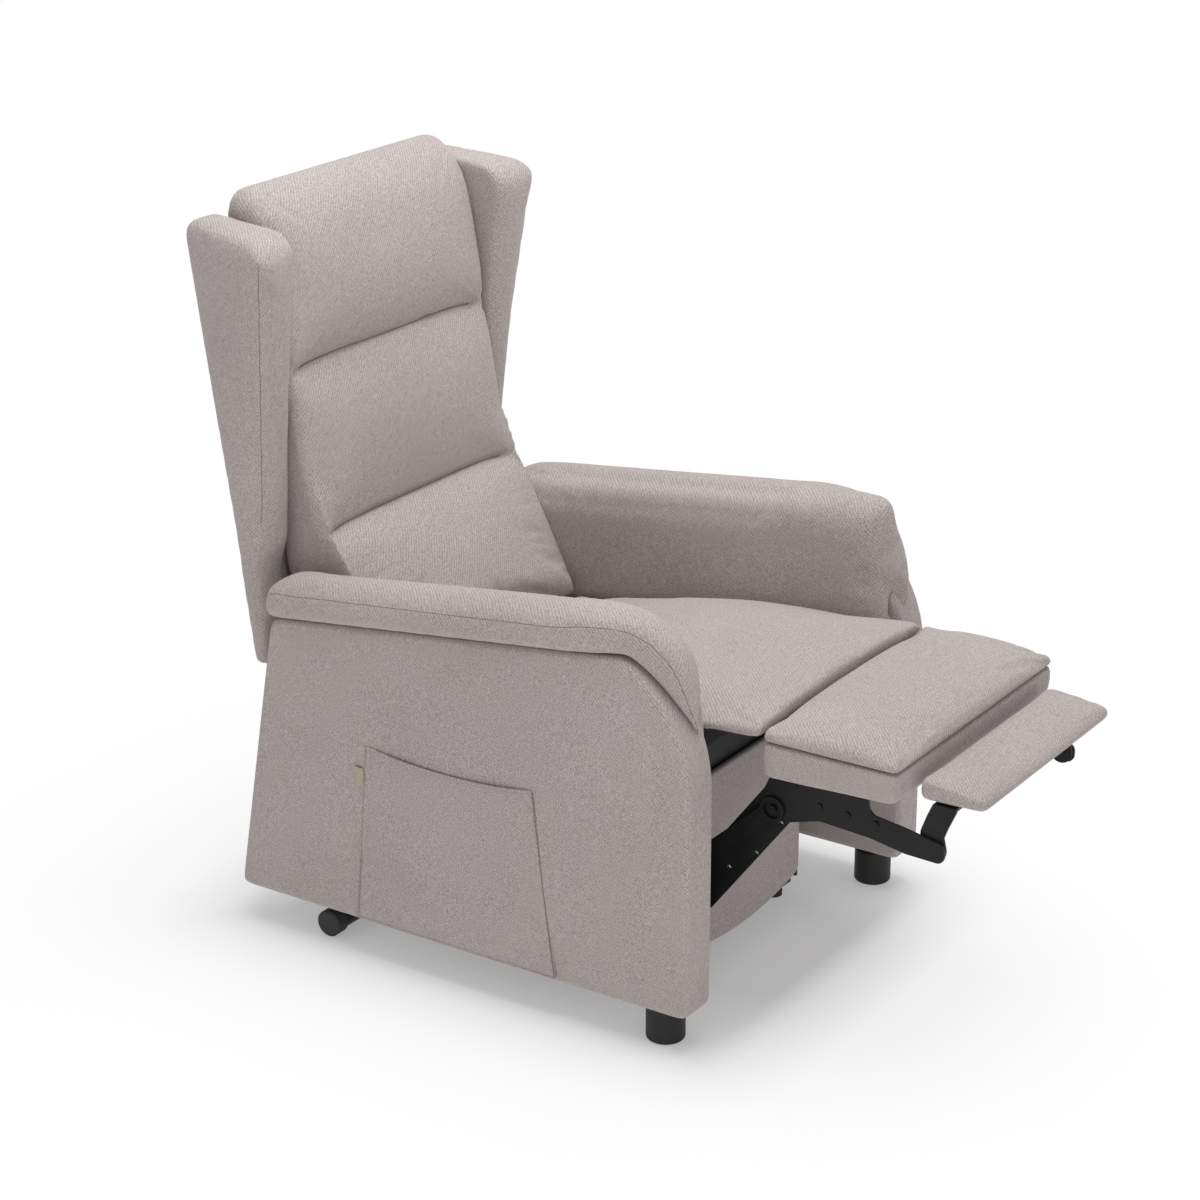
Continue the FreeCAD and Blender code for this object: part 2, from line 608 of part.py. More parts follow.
def arm_height(y):
    """Height of the arm's crown, which falls towards the back."""
    return ARM_CROWN - ARM_SLOPE * (y - ARM_CROWN_Y)


def arm_underside(y):
    """Height of a panel's top, just under the arm that rests on it."""
    return arm_height(y) - ARM_ROLL - REST_GAP


def panel_curve():
    """The panel's curved front edge: its top end under the arm, and its centre."""
    centre_y = PANEL_FRONT + PANEL_FRONT_RADIUS
    top_y = centre_y - math.sqrt(PANEL_FRONT_RADIUS ** 2 - PANEL_FRONT_RISE ** 2)
    top = (top_y, arm_underside(top_y))
    return top, (centre_y, top[1] - PANEL_FRONT_RISE)


def side_panels():
    """Upholstered side panels with a plywood core, and the legs under their front."""
    rise = PANEL_FRONT_RISE
    radius = PANEL_FRONT_RADIUS
    top_front, centre = panel_curve()
    straight_top = centre[1]
    mid_angle = math.asin(rise / radius) / 2
    middle = (centre[0] - radius * math.cos(mid_angle), centre[1] + radius * math.sin(mid_angle))
    rear_top = (PANEL_REAR_TOP, arm_underside(PANEL_REAR_TOP))
    x = PANEL_INSIDE
    straight = (PANEL_FRONT, straight_top)
    low_front = (PANEL_FRONT, PANEL_BOTTOM)
    low_rear = (PANEL_REAR_BOTTOM, PANEL_BOTTOM)
    edges = [
        Part.LineSegment(at(x, low_rear), at(x, low_front)).toShape(),
        Part.LineSegment(at(x, low_front), at(x, straight)).toShape(),
        Part.Arc(at(x, straight), at(x, middle), at(x, top_front)).toShape(),
        Part.LineSegment(at(x, top_front), at(x, rear_top)).toShape(),
        Part.LineSegment(at(x, rear_top), at(x, low_rear)).toShape(),
    ]
    face = Part.Face(Part.Wire(edges))
    panel = face.extrude(V(PANEL_THICKNESS, 0, 0))
    outer_edges = [edge for edge in panel.Edges if edge.BoundBox.XMin > PANEL_OUTSIDE - 0.1]
    inner_edges = [edge for edge in panel.Edges if edge.BoundBox.XMax < PANEL_INSIDE + 0.1
                   and edge.BoundBox.YMax < PANEL_FRONT + 0.1]
    panel = panel.makeFillet(PANEL_EDGE_RADIUS, outer_edges + inner_edges)
    core_x = PANEL_INSIDE + (PANEL_THICKNESS - CORE_THICKNESS) / 2
    core_front = PANEL_FRONT + CORE_INSET
    core_bottom = PANEL_BOTTOM + CORE_ABOVE_BOTTOM
    core = Part.Face(Part.makePolygon([
        at(core_x, (core_front, core_bottom)),
        at(core_x, (core_front, straight_top)),
        at(core_x, (top_front[0] + CORE_TOP_INSET, top_front[1] - CORE_INSET)),
        at(core_x, (rear_top[0] - CORE_TOP_INSET, rear_top[1] - CORE_TOP_INSET)),
        at(core_x, (low_rear[0] - CORE_INSET, core_bottom)),
        at(core_x, (core_front, core_bottom)),
    ])).extrude(V(CORE_THICKNESS, 0, 0))
    stud_bore = Part.makeCylinder(LEG_STUD_RADIUS, LEG_STUD_LENGTH, V(LEG_X, LEG_Y, PANEL_BOTTOM), Z_AXIS)
    core = core.cut(stud_bore)
    panel = panel.cut(core).cut(stud_bore)
    save("side_panel_left", panel)
    save("side_panel_right", mirrored(panel))
    save("panel_cores", pair(core))
    leg = Part.makeCylinder(LEG_RADIUS, PANEL_BOTTOM, V(LEG_X, LEG_Y, 0), Z_AXIS)
    leg = leg.makeFillet(LEG_FOOT_RADIUS, [leg.Edges[2]])
    stud = Part.makeCylinder(LEG_STUD_RADIUS, LEG_STUD_LENGTH + LEG_STUD_IN_LEG,
                             V(LEG_X, LEG_Y, PANEL_BOTTOM - LEG_STUD_IN_LEG), Z_AXIS)
    leg = leg.cut(stud)
    save("front_legs", pair(leg))
    save("leg_studs", pair(stud))


def arm_section(crown, up, skirt, roll, inset, overhang):
    """The arm pad's outline: a roll over the panel and a skirt down its inside, in the plane through
    the crown as (y, z) that holds X and the direction up."""
    def place(x, drop):
        return V(x, crown[0] + up[0] * drop, crown[1] + up[1] * drop)

    i = inset
    outside = PANEL_OUTSIDE + overhang - i
    share = min(1.0, roll / ARM_ROLL)
    hem = min(7.0, skirt * 0.25)
    points = [
        place(ARM_INSIDE + i, -skirt + i),
        place(PANEL_INSIDE, -skirt + i),
        place(PANEL_INSIDE, -roll),
        place(outside - 3 * share, -roll),
        place(outside, -i),
        place(ARM_INSIDE + i, -4 * share - i),
    ]
    radii = [hem, hem, 0.4, 10 * share, 30 * share, min(28.0, skirt * 0.5)]
    return rounded_wire(points, radii, [0, 0, 0, 2 * share, 4 * share, 0])


def arm_pads():
    """Padded arms: they lie on the side panels, reach down inside them, and their noses wrap round the
    panels' curved front edges."""
    centre = panel_curve()[1]
    sections = []
    for angle, crown_radius, overhang in reversed(ARM_NOSE):
        turn = math.radians(angle)
        up = (-math.sin(turn), math.cos(turn))
        fall = up[1] + ARM_SLOPE * up[0]
        low = (arm_height(centre[0]) - ARM_SKIRT - centre[1]) / fall
        top_line = (arm_underside(centre[0]) - centre[1]) / fall
        under = min(top_line, PANEL_FRONT_RADIUS) + ARM_NOSE_GAP
        crown = (centre[0] + up[0] * crown_radius, centre[1] + up[1] * crown_radius)
        sections.append(arm_section(crown, up, crown_radius - low, crown_radius - under, 0, overhang))
    rear_up = (-ARM_REAR_TILT, 1.0)
    for y, up, inset in ((centre[0], (0.0, 1.0), 0), (ARM_REAR - 34, rear_up, 0),
                         (ARM_REAR - 16, rear_up, 5), (ARM_REAR - 8, rear_up, 16)):
        crown = (y, arm_height(y))
        sections.append(arm_section(crown, up, ARM_SKIRT, ARM_ROLL, inset, ARM_OVERHANG))
    pad = loft(sections, True)
    save("arm_pad_left", pad)
    save("arm_pad_right", mirrored(pad))


def crown_stations(half, edge_drop, crown):
    """Places across a cushion with how far its surface drops there: soft ends, a crowned middle."""
    stations = [(half, edge_drop), (half - 6, edge_drop * 0.42), (half - 18, edge_drop * 0.1)]
    for share in (0.75, 0.5, 0.25, 0.0):
        stations.append((half * share, -crown * (1 - share ** 2)))
    return [(-x, drop) for x, drop in stations] + [(x, drop) for x, drop in reversed(stations[:-1])]


def seat_cushion():
    """The seat: a crowned block with a thin flap that reaches out to the footrest."""
    def section(x, drop):
        in_front = max(drop, 0) * 0.6
        places = [
            (SEAT_FRONT + in_front, SEAT_FLAP_BOTTOM),
            (SEAT_BLOCK_FRONT, SEAT_FLAP_BOTTOM - SEAT_FLAP_SLOPE),
            (SEAT_BLOCK_FRONT + 6, SEAT_BLOCK_BOTTOM),
            (SEAT_REAR - 6, SEAT_REAR_BOTTOM),
            (SEAT_REAR, SEAT_REAR_TOP - max(drop, 0)),
            (SEAT_MIDDLE_Y, SEAT_MIDDLE_TOP - drop),
            (SEAT_FRONT + in_front, SEAT_FRONT_TOP - drop * 0.8),
        ]
        return side_wire(x, places, [5, 6, 8, 8, 14, 900, 8], [0, 0, 0, 0, 5, 0, 2])

    stations = crown_stations(SEAT_HALF, SEAT_EDGE_DROP, SEAT_CROWN)
    save("seat_cushion", loft([section(x, drop) for x, drop in stations], True))


def back_rear(z):
    """Where the rear face of the back lies at a height."""
    return BACK_REAR_Y + math.tan(math.radians(BACK_LEAN)) * (z - BACK_REAR_Z)


def leaned(shape):
    """Lean an upright piece by the back's angle."""
    shape = shape.copy()
    shape.rotate(V(0, BACK_REAR_Y, BACK_REAR_Z), X_AXIS, -BACK_LEAN)
    return shape


def back_cushion(name, half, bottom, top, front_bottom, front_top, bulge, corner_radii):
    """One section of the back: a crowned pad whose edges are drawn in at the seams."""
    def section(x, drop):
        rear_low = back_rear(bottom) - CUSHION_SEAT_DEPTH
        rear_high = back_rear(top) - CUSHION_SEAT_DEPTH
        places = [
            (rear_low, bottom + max(drop, 0) * 0.3),
            (front_bottom + drop, bottom + max(drop, 0) * 0.3),
            (front_top + drop, top - max(drop, 0) * 0.5),
            (rear_high, top - max(drop, 0) * 0.5),
        ]
        return side_wire(x, places, [6, corner_radii[0], corner_radii[1], 6], [0, bulge, 0, 0])

    stations = crown_stations(half, BACK_EDGE_DROP, BACK_CROWN)
    save(name, loft([section(x, drop) for x, drop in stations], True))


def back():
    """The back: frame, straps, shell, three cushions and two wings."""
    rear = BACK_REAR_Y
    tall = SHELL_TOP - SHELL_STEP
    wide = box(-SHELL_HALF, SHELL_HALF, rear - SHELL_THICKNESS, rear, SHELL_STEP, SHELL_STEP + tall)
    narrow = box(-SHELL_LOWER_HALF, SHELL_LOWER_HALF, rear - SHELL_THICKNESS, rear, SHELL_BOTTOM, SHELL_STEP)
    shell = wide.fuse(narrow).removeSplitter()
    corners = [edge for edge in shell.Edges if abs(edge.BoundBox.ZMax - edge.BoundBox.ZMin) < 0.1
               and edge.BoundBox.YMax - edge.BoundBox.YMin > 1
               and (edge.BoundBox.ZMax > SHELL_TOP - 1 or edge.BoundBox.ZMin < SHELL_BOTTOM + 1)]
    shell = shell.makeFillet(SHELL_CORNER_RADIUS, corners)
    save("back_shell", leaned(shell))

    frame_rear = rear - SHELL_THICKNESS
    upright = box(FRAME_HALF - FRAME_WIDTH, FRAME_HALF, frame_rear - FRAME_DEPTH, frame_rear,
                  FRAME_BOTTOM, FRAME_TOP)
    reach = FRAME_HALF - FRAME_WIDTH
    bars = [upright, mirrored(upright)]
    for z in (FRAME_BOTTOM + 10, FRAME_MIDDLE, FRAME_TOP - FRAME_WIDTH):
        bars.append(box(-reach, reach, frame_rear - FRAME_DEPTH, frame_rear, z, z + FRAME_WIDTH))
    save("back_frame", leaned(group(bars)))
    straps = []
    for i in range(BACK_STRAP_COUNT):
        z = BACK_STRAP_BOTTOM + i * BACK_STRAP_PITCH
        front = frame_rear - FRAME_DEPTH
        straps.append(box(-FRAME_HALF, FRAME_HALF, front - STRAP_THICKNESS, front, z, z + BACK_STRAP_HEIGHT))
    save("back_straps", leaned(group(straps)))

    ear_x = SIDE_PLATE_X - 5
    foot_z = 398.0
    frame_front = back_rear(foot_z) - SHELL_THICKNESS - FRAME_DEPTH
    ear = plate([(BACK_PIVOT[0] - 20, 304), (BACK_PIVOT[0] - 18, 338), (frame_front - 30, foot_z),
                 (frame_front + 20, foot_z), (frame_front + 14, FRAME_BOTTOM + 14),
                 (BACK_PIVOT[0] + 10, 300)],
                [14, 12, 10, 4, 4, 14], ear_x, LINK_PLATE, [(BACK_PIVOT, PIN_HOLE)])
    upright_leaned = leaned(box(0, FRAME_HALF + 5, frame_rear - FRAME_DEPTH, frame_rear, 200, FRAME_TOP))
    ear = largest(ear.cut(upright_leaned))
    save("back_hinge_plates", pair(ear))
    lever_x = FORK_HALF
    levers = []
    for x in (BACK_ACTUATOR_X + lever_x, BACK_ACTUATOR_X - lever_x - LINK_PLATE):
        levers.append(link(BACK_PIVOT, BACK_DRIVE, 30.0, x, LINK_PLATE,
                           [(BACK_PIVOT, TUBE_RADIUS), (BACK_DRIVE, PIN_RADIUS)]))
    levers.append(cylinder_x(BACK_DRIVE, PIN_RADIUS, BACK_ACTUATOR_X - lever_x - LINK_PLATE,
                             BACK_ACTUATOR_X + lever_x + LINK_PLATE))
    levers.append(tube_x(BACK_PIVOT, TUBE_RADIUS, TUBE_WALL, -ear_x, ear_x))
    save("back_drive_levers", group(levers))

    back_cushion("head_cushion", BACK_HALF, UPPER_SEAM, BACK_TOP, UPPER_SEAM_FRONT, BACK_TOP_FRONT,
                 HEAD_BULGE, [SEAM_RADIUS, HEAD_TOP_RADIUS])
    back_cushion("middle_cushion", BACK_HALF, LOWER_SEAM, UPPER_SEAM - CUSHION_GAP, LOWER_SEAM_FRONT,
                 UPPER_SEAM_FRONT, MIDDLE_BULGE, [SEAM_RADIUS, SEAM_RADIUS])
    back_cushion("lumbar_cushion", LUMBAR_HALF, LUMBAR_BOTTOM, LOWER_SEAM - CUSHION_GAP, LUMBAR_BOTTOM_FRONT,
                 LOWER_SEAM_FRONT, LUMBAR_BULGE, [SEAM_RADIUS, SEAM_RADIUS])


def wing_section(z, front_outside_x, front_outside_y, front_inside_y, inset):
    """A level cut through a wing, at height z."""
    rear = back_rear(z)
    i = inset
    points = [
        V(WING_INSIDE + i, rear - i, z),
        V(WING_INSIDE + i, front_inside_y + i, z),
        V(front_outside_x - i, front_outside_y + i, z),
        V(WING_OUTSIDE - i, rear - i, z),
    ]
    r = min(WING_EDGE_RADIUS, (rear - front_inside_y - 2 * i) * 0.3)
    return rounded_wire(points, [min(r, 4), r, r, r])


def wings():
    """Upholstered wings that flare forward at head height and run down as the shell's sides."""
    low = WING_FRONTS[0]
    high = WING_FRONTS[-1]
    sections = [wing_section(WING_BOTTOM, *low[1:], 8)]
    sections += [wing_section(*front, 0) for front in WING_FRONTS]
    sections.append(wing_section(WING_TOP - 5, *high[1:], 5))
    sections.append(wing_section(WING_TOP, *high[1:], 15))
    wing = loft(sections, True)
    save("wing_left", wing)
    save("wing_right", mirrored(wing))


def apron():
    """The upholstered front panel, its lower edge sagging in the middle."""
    y = APRON_Y
    low = APRON_BOTTOM
    edges = [
        Part.LineSegment(V(-APRON_HALF, y, low), V(-APRON_HALF, y, APRON_TOP)).toShape(),
        Part.LineSegment(V(-APRON_HALF, y, APRON_TOP), V(APRON_HALF, y, APRON_TOP)).toShape(),
        Part.LineSegment(V(APRON_HALF, y, APRON_TOP), V(APRON_HALF, y, low)).toShape(),
        Part.Arc(V(APRON_HALF, y, low), V(0, y, low - APRON_SAG), V(-APRON_HALF, y, low)).toShape(),
    ]
    panel = Part.Face(Part.Wire(edges)).extrude(V(0, APRON_THICKNESS, 0))
    front_edges = [edge for edge in panel.Edges if edge.BoundBox.YMax < y + 0.1]
    save("front_panel", panel.makeFillet(5.0, front_edges))


def pocket():
    """The flat side pocket, open along its top, and a plain label sewn in its rear seam."""
    def outline(inset, x, top_lift=0.0):
        i = inset
        rear_top = (POCKET_REAR_TOP[0] - i, POCKET_REAR_TOP[1] + top_lift)
        sag = (POCKET_SAG[0], POCKET_SAG[1] + top_lift)
        front_top = (POCKET_FRONT_TOP[0] + i, POCKET_FRONT_TOP[1] + top_lift)
        front_low = (POCKET_FRONT_BOTTOM[0] + i, POCKET_FRONT_BOTTOM[1] + i)
        rear_low = (POCKET_REAR_BOTTOM[0] - i, POCKET_REAR_BOTTOM[1] + i)
        return Part.Wire([
            Part.Arc(at(x, rear_top), at(x, sag), at(x, front_top)).toShape(),
            Part.LineSegment(at(x, front_top), at(x, front_low)).toShape(),
            Part.LineSegment(at(x, front_low), at(x, rear_low)).toShape(),
            Part.LineSegment(at(x, rear_low), at(x, rear_top)).toShape(),
        ])

    base = -PANEL_OUTSIDE
    outer = loft([outline(0, base), outline(POCKET_INSET, base - POCKET_DEPTH)], True)
    depth = POCKET_DEPTH - POCKET_CLOTH
    hollow = loft([outline(POCKET_CLOTH * 2, base, 1), outline(POCKET_INSET + POCKET_CLOTH, base - depth, 1)],
                  True)
    save("side_pocket", largest(outer.cut(hollow)))
    label = box(base - LABEL_THICKNESS, base, LABEL_FRONT, LABEL_REAR, LABEL_BOTTOM, LABEL_TOP)
    save("pocket_label", label)


def control_box():
    """The control box under the front cross tube, with its two sockets."""
    top = FRONT_TUBE[1] - TUBE_RADIUS
    shell = box(-190, -120, FRONT_TUBE[0] - 13, 95, top - 38, top)
    shell = shell.makeFillet(5.0, shell.Edges)
    for x in (-170, -145):
        socket = Part.makeCylinder(5.0, 12.0, V(x, 95, top - 18), V(0, -1, 0))
        shell = shell.cut(socket)
    save("control_box", shell)


def footrest_links():
    """The steel links that carry the footrest."""
    front = link(FOOT_PIVOT, FOOT_KNEE, FRONT_LINK_WIDTH, FRONT_LINK_X, FRONT_LINK_PLATE,
                 [(FOOT_PIVOT, PIN_HOLE), (FOOT_KNEE, PIN_HOLE)])
    holes = [((-247, 246), 3.5), ((-293, 281), 3.5), ((-334, 340), 3.5)]
    front = drilled(front, holes, FRONT_LINK_X, FRONT_LINK_PLATE)
    save("footrest_front_links", pair(front))

    rear = link(REAR_LINK_PIVOT, REAR_LINK_TOP, REAR_LINK_WIDTH, REAR_LINK_X, LINK_PLATE, [])
    eye = cylinder_x(REAR_LINK_TOP, 19.5, REAR_LINK_X, REAR_LINK_X + LINK_PLATE)
    lever = link(REAR_LINK_PIVOT, FOOT_DRIVE, REAR_LINK_WIDTH, REAR_LINK_X, LINK_PLATE, [])
    rear = rear.fuse([eye, lever]).removeSplitter()
    rear = drilled(rear, [(REAR_LINK_PIVOT, PIN_HOLE), (FOOT_DRIVE, DRIVE_TUBE_RADIUS),
                          (REAR_LINK_TOP, PIN_RADIUS + REAR_LINK_PLAY)], REAR_LINK_X, LINK_PLATE)
    save("footrest_rear_links", pair(rear))
    reach = REAR_LINK_X + LINK_PLATE
    half = FORK_HALF
    left = tube_x(FOOT_DRIVE, DRIVE_TUBE_RADIUS, TUBE_WALL, FOOT_ACTUATOR_X + half, reach)
    right = tube_x(FOOT_DRIVE, DRIVE_TUBE_RADIUS, TUBE_WALL, -reach, FOOT_ACTUATOR_X - half)
    core = cylinder_x(FOOT_DRIVE, PIN_RADIUS, FOOT_ACTUATOR_X - half - 20, FOOT_ACTUATOR_X + half + 20)
    core = core.fuse([cylinder_x(FOOT_DRIVE, DRIVE_TUBE_RADIUS - TUBE_WALL, FOOT_ACTUATOR_X + half,
                                 FOOT_ACTUATOR_X + half + 20),
                      cylinder_x(FOOT_DRIVE, DRIVE_TUBE_RADIUS - TUBE_WALL, FOOT_ACTUATOR_X - half - 20,
                                 FOOT_ACTUATOR_X - half)]).removeSplitter()
    save("footrest_drive_tube", group([left, right, core]))


def foot_bottom(y):
    """Height of the underside of the footrest's base."""
    rise = FOOT_BOX_FRONT_BOTTOM - FOOT_BOX_REAR_BOTTOM
    return FOOT_BOX_REAR_BOTTOM + rise * (FOOT_REAR - y) / (FOOT_REAR - FOOT_BOX_FRONT)


def above(start, end):
    """Everything above a sloping line, on the chair's left side."""
    corners = [at(0, start), at(0, end), at(0, (end[0], end[1] + 100)), at(0, (start[0], start[1] + 100))]
    return Part.Face(Part.makePolygon(corners + corners[:1])).extrude(V(PANEL_INSIDE, 0, 0))


def footrest():
    """The footrest: side rails, an upholstered base and its cushion."""
    rail = plate([(FOOT_REAR - 2, FOOT_BOX_REAR_BOTTOM + 4), (-476, FOOT_BOX_FRONT_BOTTOM + 2), (-482, 394),
                  (-540, 386), (-602, 374), (-602, 345), (-540, 347), (-482, 357), (-400, 362), (-345, 346),
                  (-305, 346), (-302, 380)],
                 [6, 8, 14, 12, 12, 12, 14, 20, 20, 14, 14, 14], RAIL_X, LINK_PLATE,
                 [(FOOT_KNEE, PIN_RADIUS), (REAR_LINK_TOP, PIN_RADIUS), (FLIP_PIVOT, PIN_RADIUS)])
    rear_end = (FOOT_REAR + 30, foot_bottom(FOOT_REAR + 30) - REST_GAP)
    front_end = (FOOT_FRONT, foot_bottom(FOOT_FRONT) - REST_GAP)
    rail = largest(rail.cut(above(rear_end, front_end)))
    save("footrest_rails", pair(rail))
    stub = cylinder_x(REAR_LINK_TOP, PIN_RADIUS, RAIL_X, REAR_LINK_X + LINK_PLATE)
    rivets = [stub]
    for share in (0.3, 0.5, 0.7):
        place = between((FOOT_REAR - 10, 388), (-560, 378), share)
        rivets.append(cylinder_x(place, 5.0, RAIL_X + LINK_PLATE, RAIL_X + LINK_PLATE + 2.5))
    flip_pin = cylinder_x(FLIP_PIVOT, PIN_RADIUS, FRONT_LINK_X - 2, RAIL_X + LINK_PLATE)
    knee_pin = cylinder_x(FOOT_KNEE, PIN_RADIUS, FRONT_LINK_X - 2, RAIL_X + LINK_PLATE)
    rivets += [flip_pin, knee_pin]
    save("footrest_rivets", group(rivets + [mirrored(one) for one in rivets]))

    def box_section(x, inset):
        i = inset
        places = [(FOOT_REAR - i, FOOT_BOX_TOP), (FOOT_REAR - i, FOOT_BOX_REAR_BOTTOM + i * 0.3),
                  (FOOT_BOX_FRONT + i, FOOT_BOX_FRONT_BOTTOM + i * 0.3),
                  (FOOT_BOX_FRONT + i - 3, FOOT_BOX_TOP)]
        return side_wire(x, places, [3, 8, 8, 3])

    half = FOOT_HALF - 1
    save("footrest_base", loft([box_section(-half, 6), box_section(-half + 6, 0), box_section(half - 6, 0),
                                box_section(half, 6)], True))

    def pad_section(x, drop):
        top = FOOT_PAD_SIDE_TOP - drop
        ends = max(drop, 0) * 0.5
        places = [(FOOT_REAR - 2 - ends, FOOT_BOX_TOP + 0.2), (FOOT_FRONT + ends, FOOT_BOX_TOP + 0.2),
                  (FOOT_FRONT + ends, top), (FOOT_REAR - 2 - ends, top)]
        bulge = FOOT_PAD_CROWN * 0.4
        edge = (top - FOOT_BOX_TOP) * 0.4
        return side_wire(x, places, [edge, edge, edge, edge], [0, 2, bulge, 0])

    stations = crown_stations(FOOT_HALF, 5.0, FOOT_PAD_CROWN * 0.6)
    save("footrest_cushion", loft([pad_section(x, drop) for x, drop in stations], True))


def flip_pad():
    """The small pad in front of the footrest and the cranked brackets that carry it."""
    def section(x, inset):
        i = inset
        places = [(FLIP_REAR - i, FLIP_REAR_TOP - i), (FLIP_REAR - i, FLIP_REAR_BOTTOM + i),
                  (FLIP_FRONT + i, FLIP_FRONT_BOTTOM + i), (FLIP_FRONT + i, FLIP_FRONT_TOP - i * 0.6)]
        return side_wire(x, places, [7, 7, 7, 8], [0, 0, 1.5, 1.5])

    half = FLIP_HALF
    sections = [section(-half, 7), section(-half + 4, 2), section(-half + 12, 0),
                section(half - 12, 0), section(half - 4, 2), section(half, 7)]
    save("flip_pad", loft(sections, True))
    spots = [FLIP_PIVOT, (-578, 384), (-586, 406), (FLIP_REAR - 46, FLIP_REAR_BOTTOM - 0.2)]
    bracket = None
    for start, end in zip(spots, spots[1:]):
        piece = link(start, end, FLIP_BRACKET_WIDTH, FRONT_LINK_X, LINK_PLATE, [])
        bracket = piece if bracket is None else bracket.fuse(piece)
    ceiling = above((FLIP_REAR + 40, FLIP_REAR_BOTTOM - REST_GAP), (FLIP_FRONT, FLIP_FRONT_BOTTOM - REST_GAP))
    bracket = largest(drilled(bracket.cut(ceiling).removeSplitter(), [(FLIP_PIVOT, PIN_HOLE)],
                              FRONT_LINK_X, LINK_PLATE))
    foot_plate = box(FRONT_LINK_X - 26, FRONT_LINK_X + LINK_PLATE, FLIP_REAR - 62, FLIP_REAR - 26,
                     FLIP_REAR_BOTTOM - 4.5, FLIP_REAR_BOTTOM)
    bracket = bracket.fuse(foot_plate.cut(ceiling)).removeSplitter()
    save("flip_brackets", pair(bracket))


def main():
    """Build every sub-part."""
    os.makedirs("parts", exist_ok=True)
    floor_base()
    lift_arms()
    motors()
    chassis_steel()
    seat_frame()
    side_panels()
    arm_pads()
    seat_cushion()
    back()
    wings()
    apron()
    pocket()
    control_box()
    footrest_links()
    footrest()
    flip_pad()


main()
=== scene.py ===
import json
import math
import bmesh
import bpy
import numpy as np
from mathutils import Matrix, Vector
from mathutils.bvhtree import BVHTree

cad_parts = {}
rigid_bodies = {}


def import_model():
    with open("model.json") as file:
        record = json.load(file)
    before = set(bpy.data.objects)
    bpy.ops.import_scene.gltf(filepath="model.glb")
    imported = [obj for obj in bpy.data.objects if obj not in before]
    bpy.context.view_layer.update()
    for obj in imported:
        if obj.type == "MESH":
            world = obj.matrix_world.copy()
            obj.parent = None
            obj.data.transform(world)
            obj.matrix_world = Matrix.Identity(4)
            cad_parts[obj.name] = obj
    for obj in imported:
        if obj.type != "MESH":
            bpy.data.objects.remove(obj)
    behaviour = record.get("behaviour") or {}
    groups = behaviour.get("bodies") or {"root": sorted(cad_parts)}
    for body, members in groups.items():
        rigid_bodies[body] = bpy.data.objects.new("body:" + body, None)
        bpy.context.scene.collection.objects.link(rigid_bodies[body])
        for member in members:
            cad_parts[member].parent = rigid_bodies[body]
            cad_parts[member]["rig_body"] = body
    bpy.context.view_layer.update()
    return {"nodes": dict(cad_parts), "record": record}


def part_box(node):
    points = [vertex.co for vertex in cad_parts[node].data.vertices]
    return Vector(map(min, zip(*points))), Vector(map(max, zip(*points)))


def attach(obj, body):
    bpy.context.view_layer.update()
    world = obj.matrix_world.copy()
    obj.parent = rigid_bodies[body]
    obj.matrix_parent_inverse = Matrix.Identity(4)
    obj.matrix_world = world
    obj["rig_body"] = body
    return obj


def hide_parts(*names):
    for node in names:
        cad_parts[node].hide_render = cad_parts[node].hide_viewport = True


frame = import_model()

# A lift recliner. Shapes are worked out in millimetres and become metres in the mesh.
# The sitter faces -Y and Z is up, as in the frame.
MM = 0.001

# Side panels
PANEL_OUTSIDE = 360.0
PANEL_INSIDE = 290.0
PANEL_BOTTOM = 57.0
PANEL_FRONT = -269.0
PANEL_RADIUS = 229.0
PANEL_RISE = 199.0
PANEL_REAR_BOTTOM = 578.0
PANEL_REAR_TOP = 496.0
PANEL_PUFF = 4.0
PANEL_EDGE = 12.0
COVER_GAP = 0.4         # from a cover's inner face to what it leans on

# Arms
ARM_SLOPE = 0.118
ARM_CROWN = 656.0
ARM_CROWN_Y = -23.0
ARM_ROLL = 62.0
ARM_OUTSIDE = 375.0
ARM_INSIDE = 257.0
ARM_SKIRT = 227.0
ARM_REAR = 503.0
ARM_TAIL = 36.0
ARM_TAIL_INSET = 22.0
ARM_TAIL_DROP = 20.0
ARM_TAIL_TIGHTER = 12.0
ARM_OUTER_RADIUS = 29.0
ARM_INNER_RADIUS = 27.0
LIP_RISE = 8.0
LIP_FROM = 150.0
LIP_POWER = 14
INNER_NOSE_Y = -240.0
NOSE_STOP = 12.0
ARM_NOSE = [            # degrees forward of upright, crown's distance from the panel curve's centre, overhang
    (0.0, 248.0, 15.0), (8.0, 256.0, 14.0), (15.0, 265.0, 11.0), (24.0, 279.0, 4.0), (30.0, 285.5, -2.0),
    (40.0, 284.5, -9.0), (48.0, 272.0, -16.0), (56.0, 255.5, -25.0), (64.0, 243.5, -37.0),
    (71.0, 236.6, -51.0), (78.0, 233.8, -63.0)]

# Seat
SEAT_HALF = 251.5
SEAT_CROWN = 20.0
SEAT_EDGE = 24.0
SEAT_FRONT = -317.0
SEAT_FLAP_TOP = 505.0
SEAT_FLAP_UNDER = 483.0
SEAT_FLAP_ROOT = (-187.0, 472.0)
SEAT_FOOT_FRONT = (-181.0, 402.0)
SEAT_FOOT_REAR = (339.0, 348.0)
SEAT_BEND = (-18.0, 481.0)
SEAT_REAR = (344.0, 414.0)

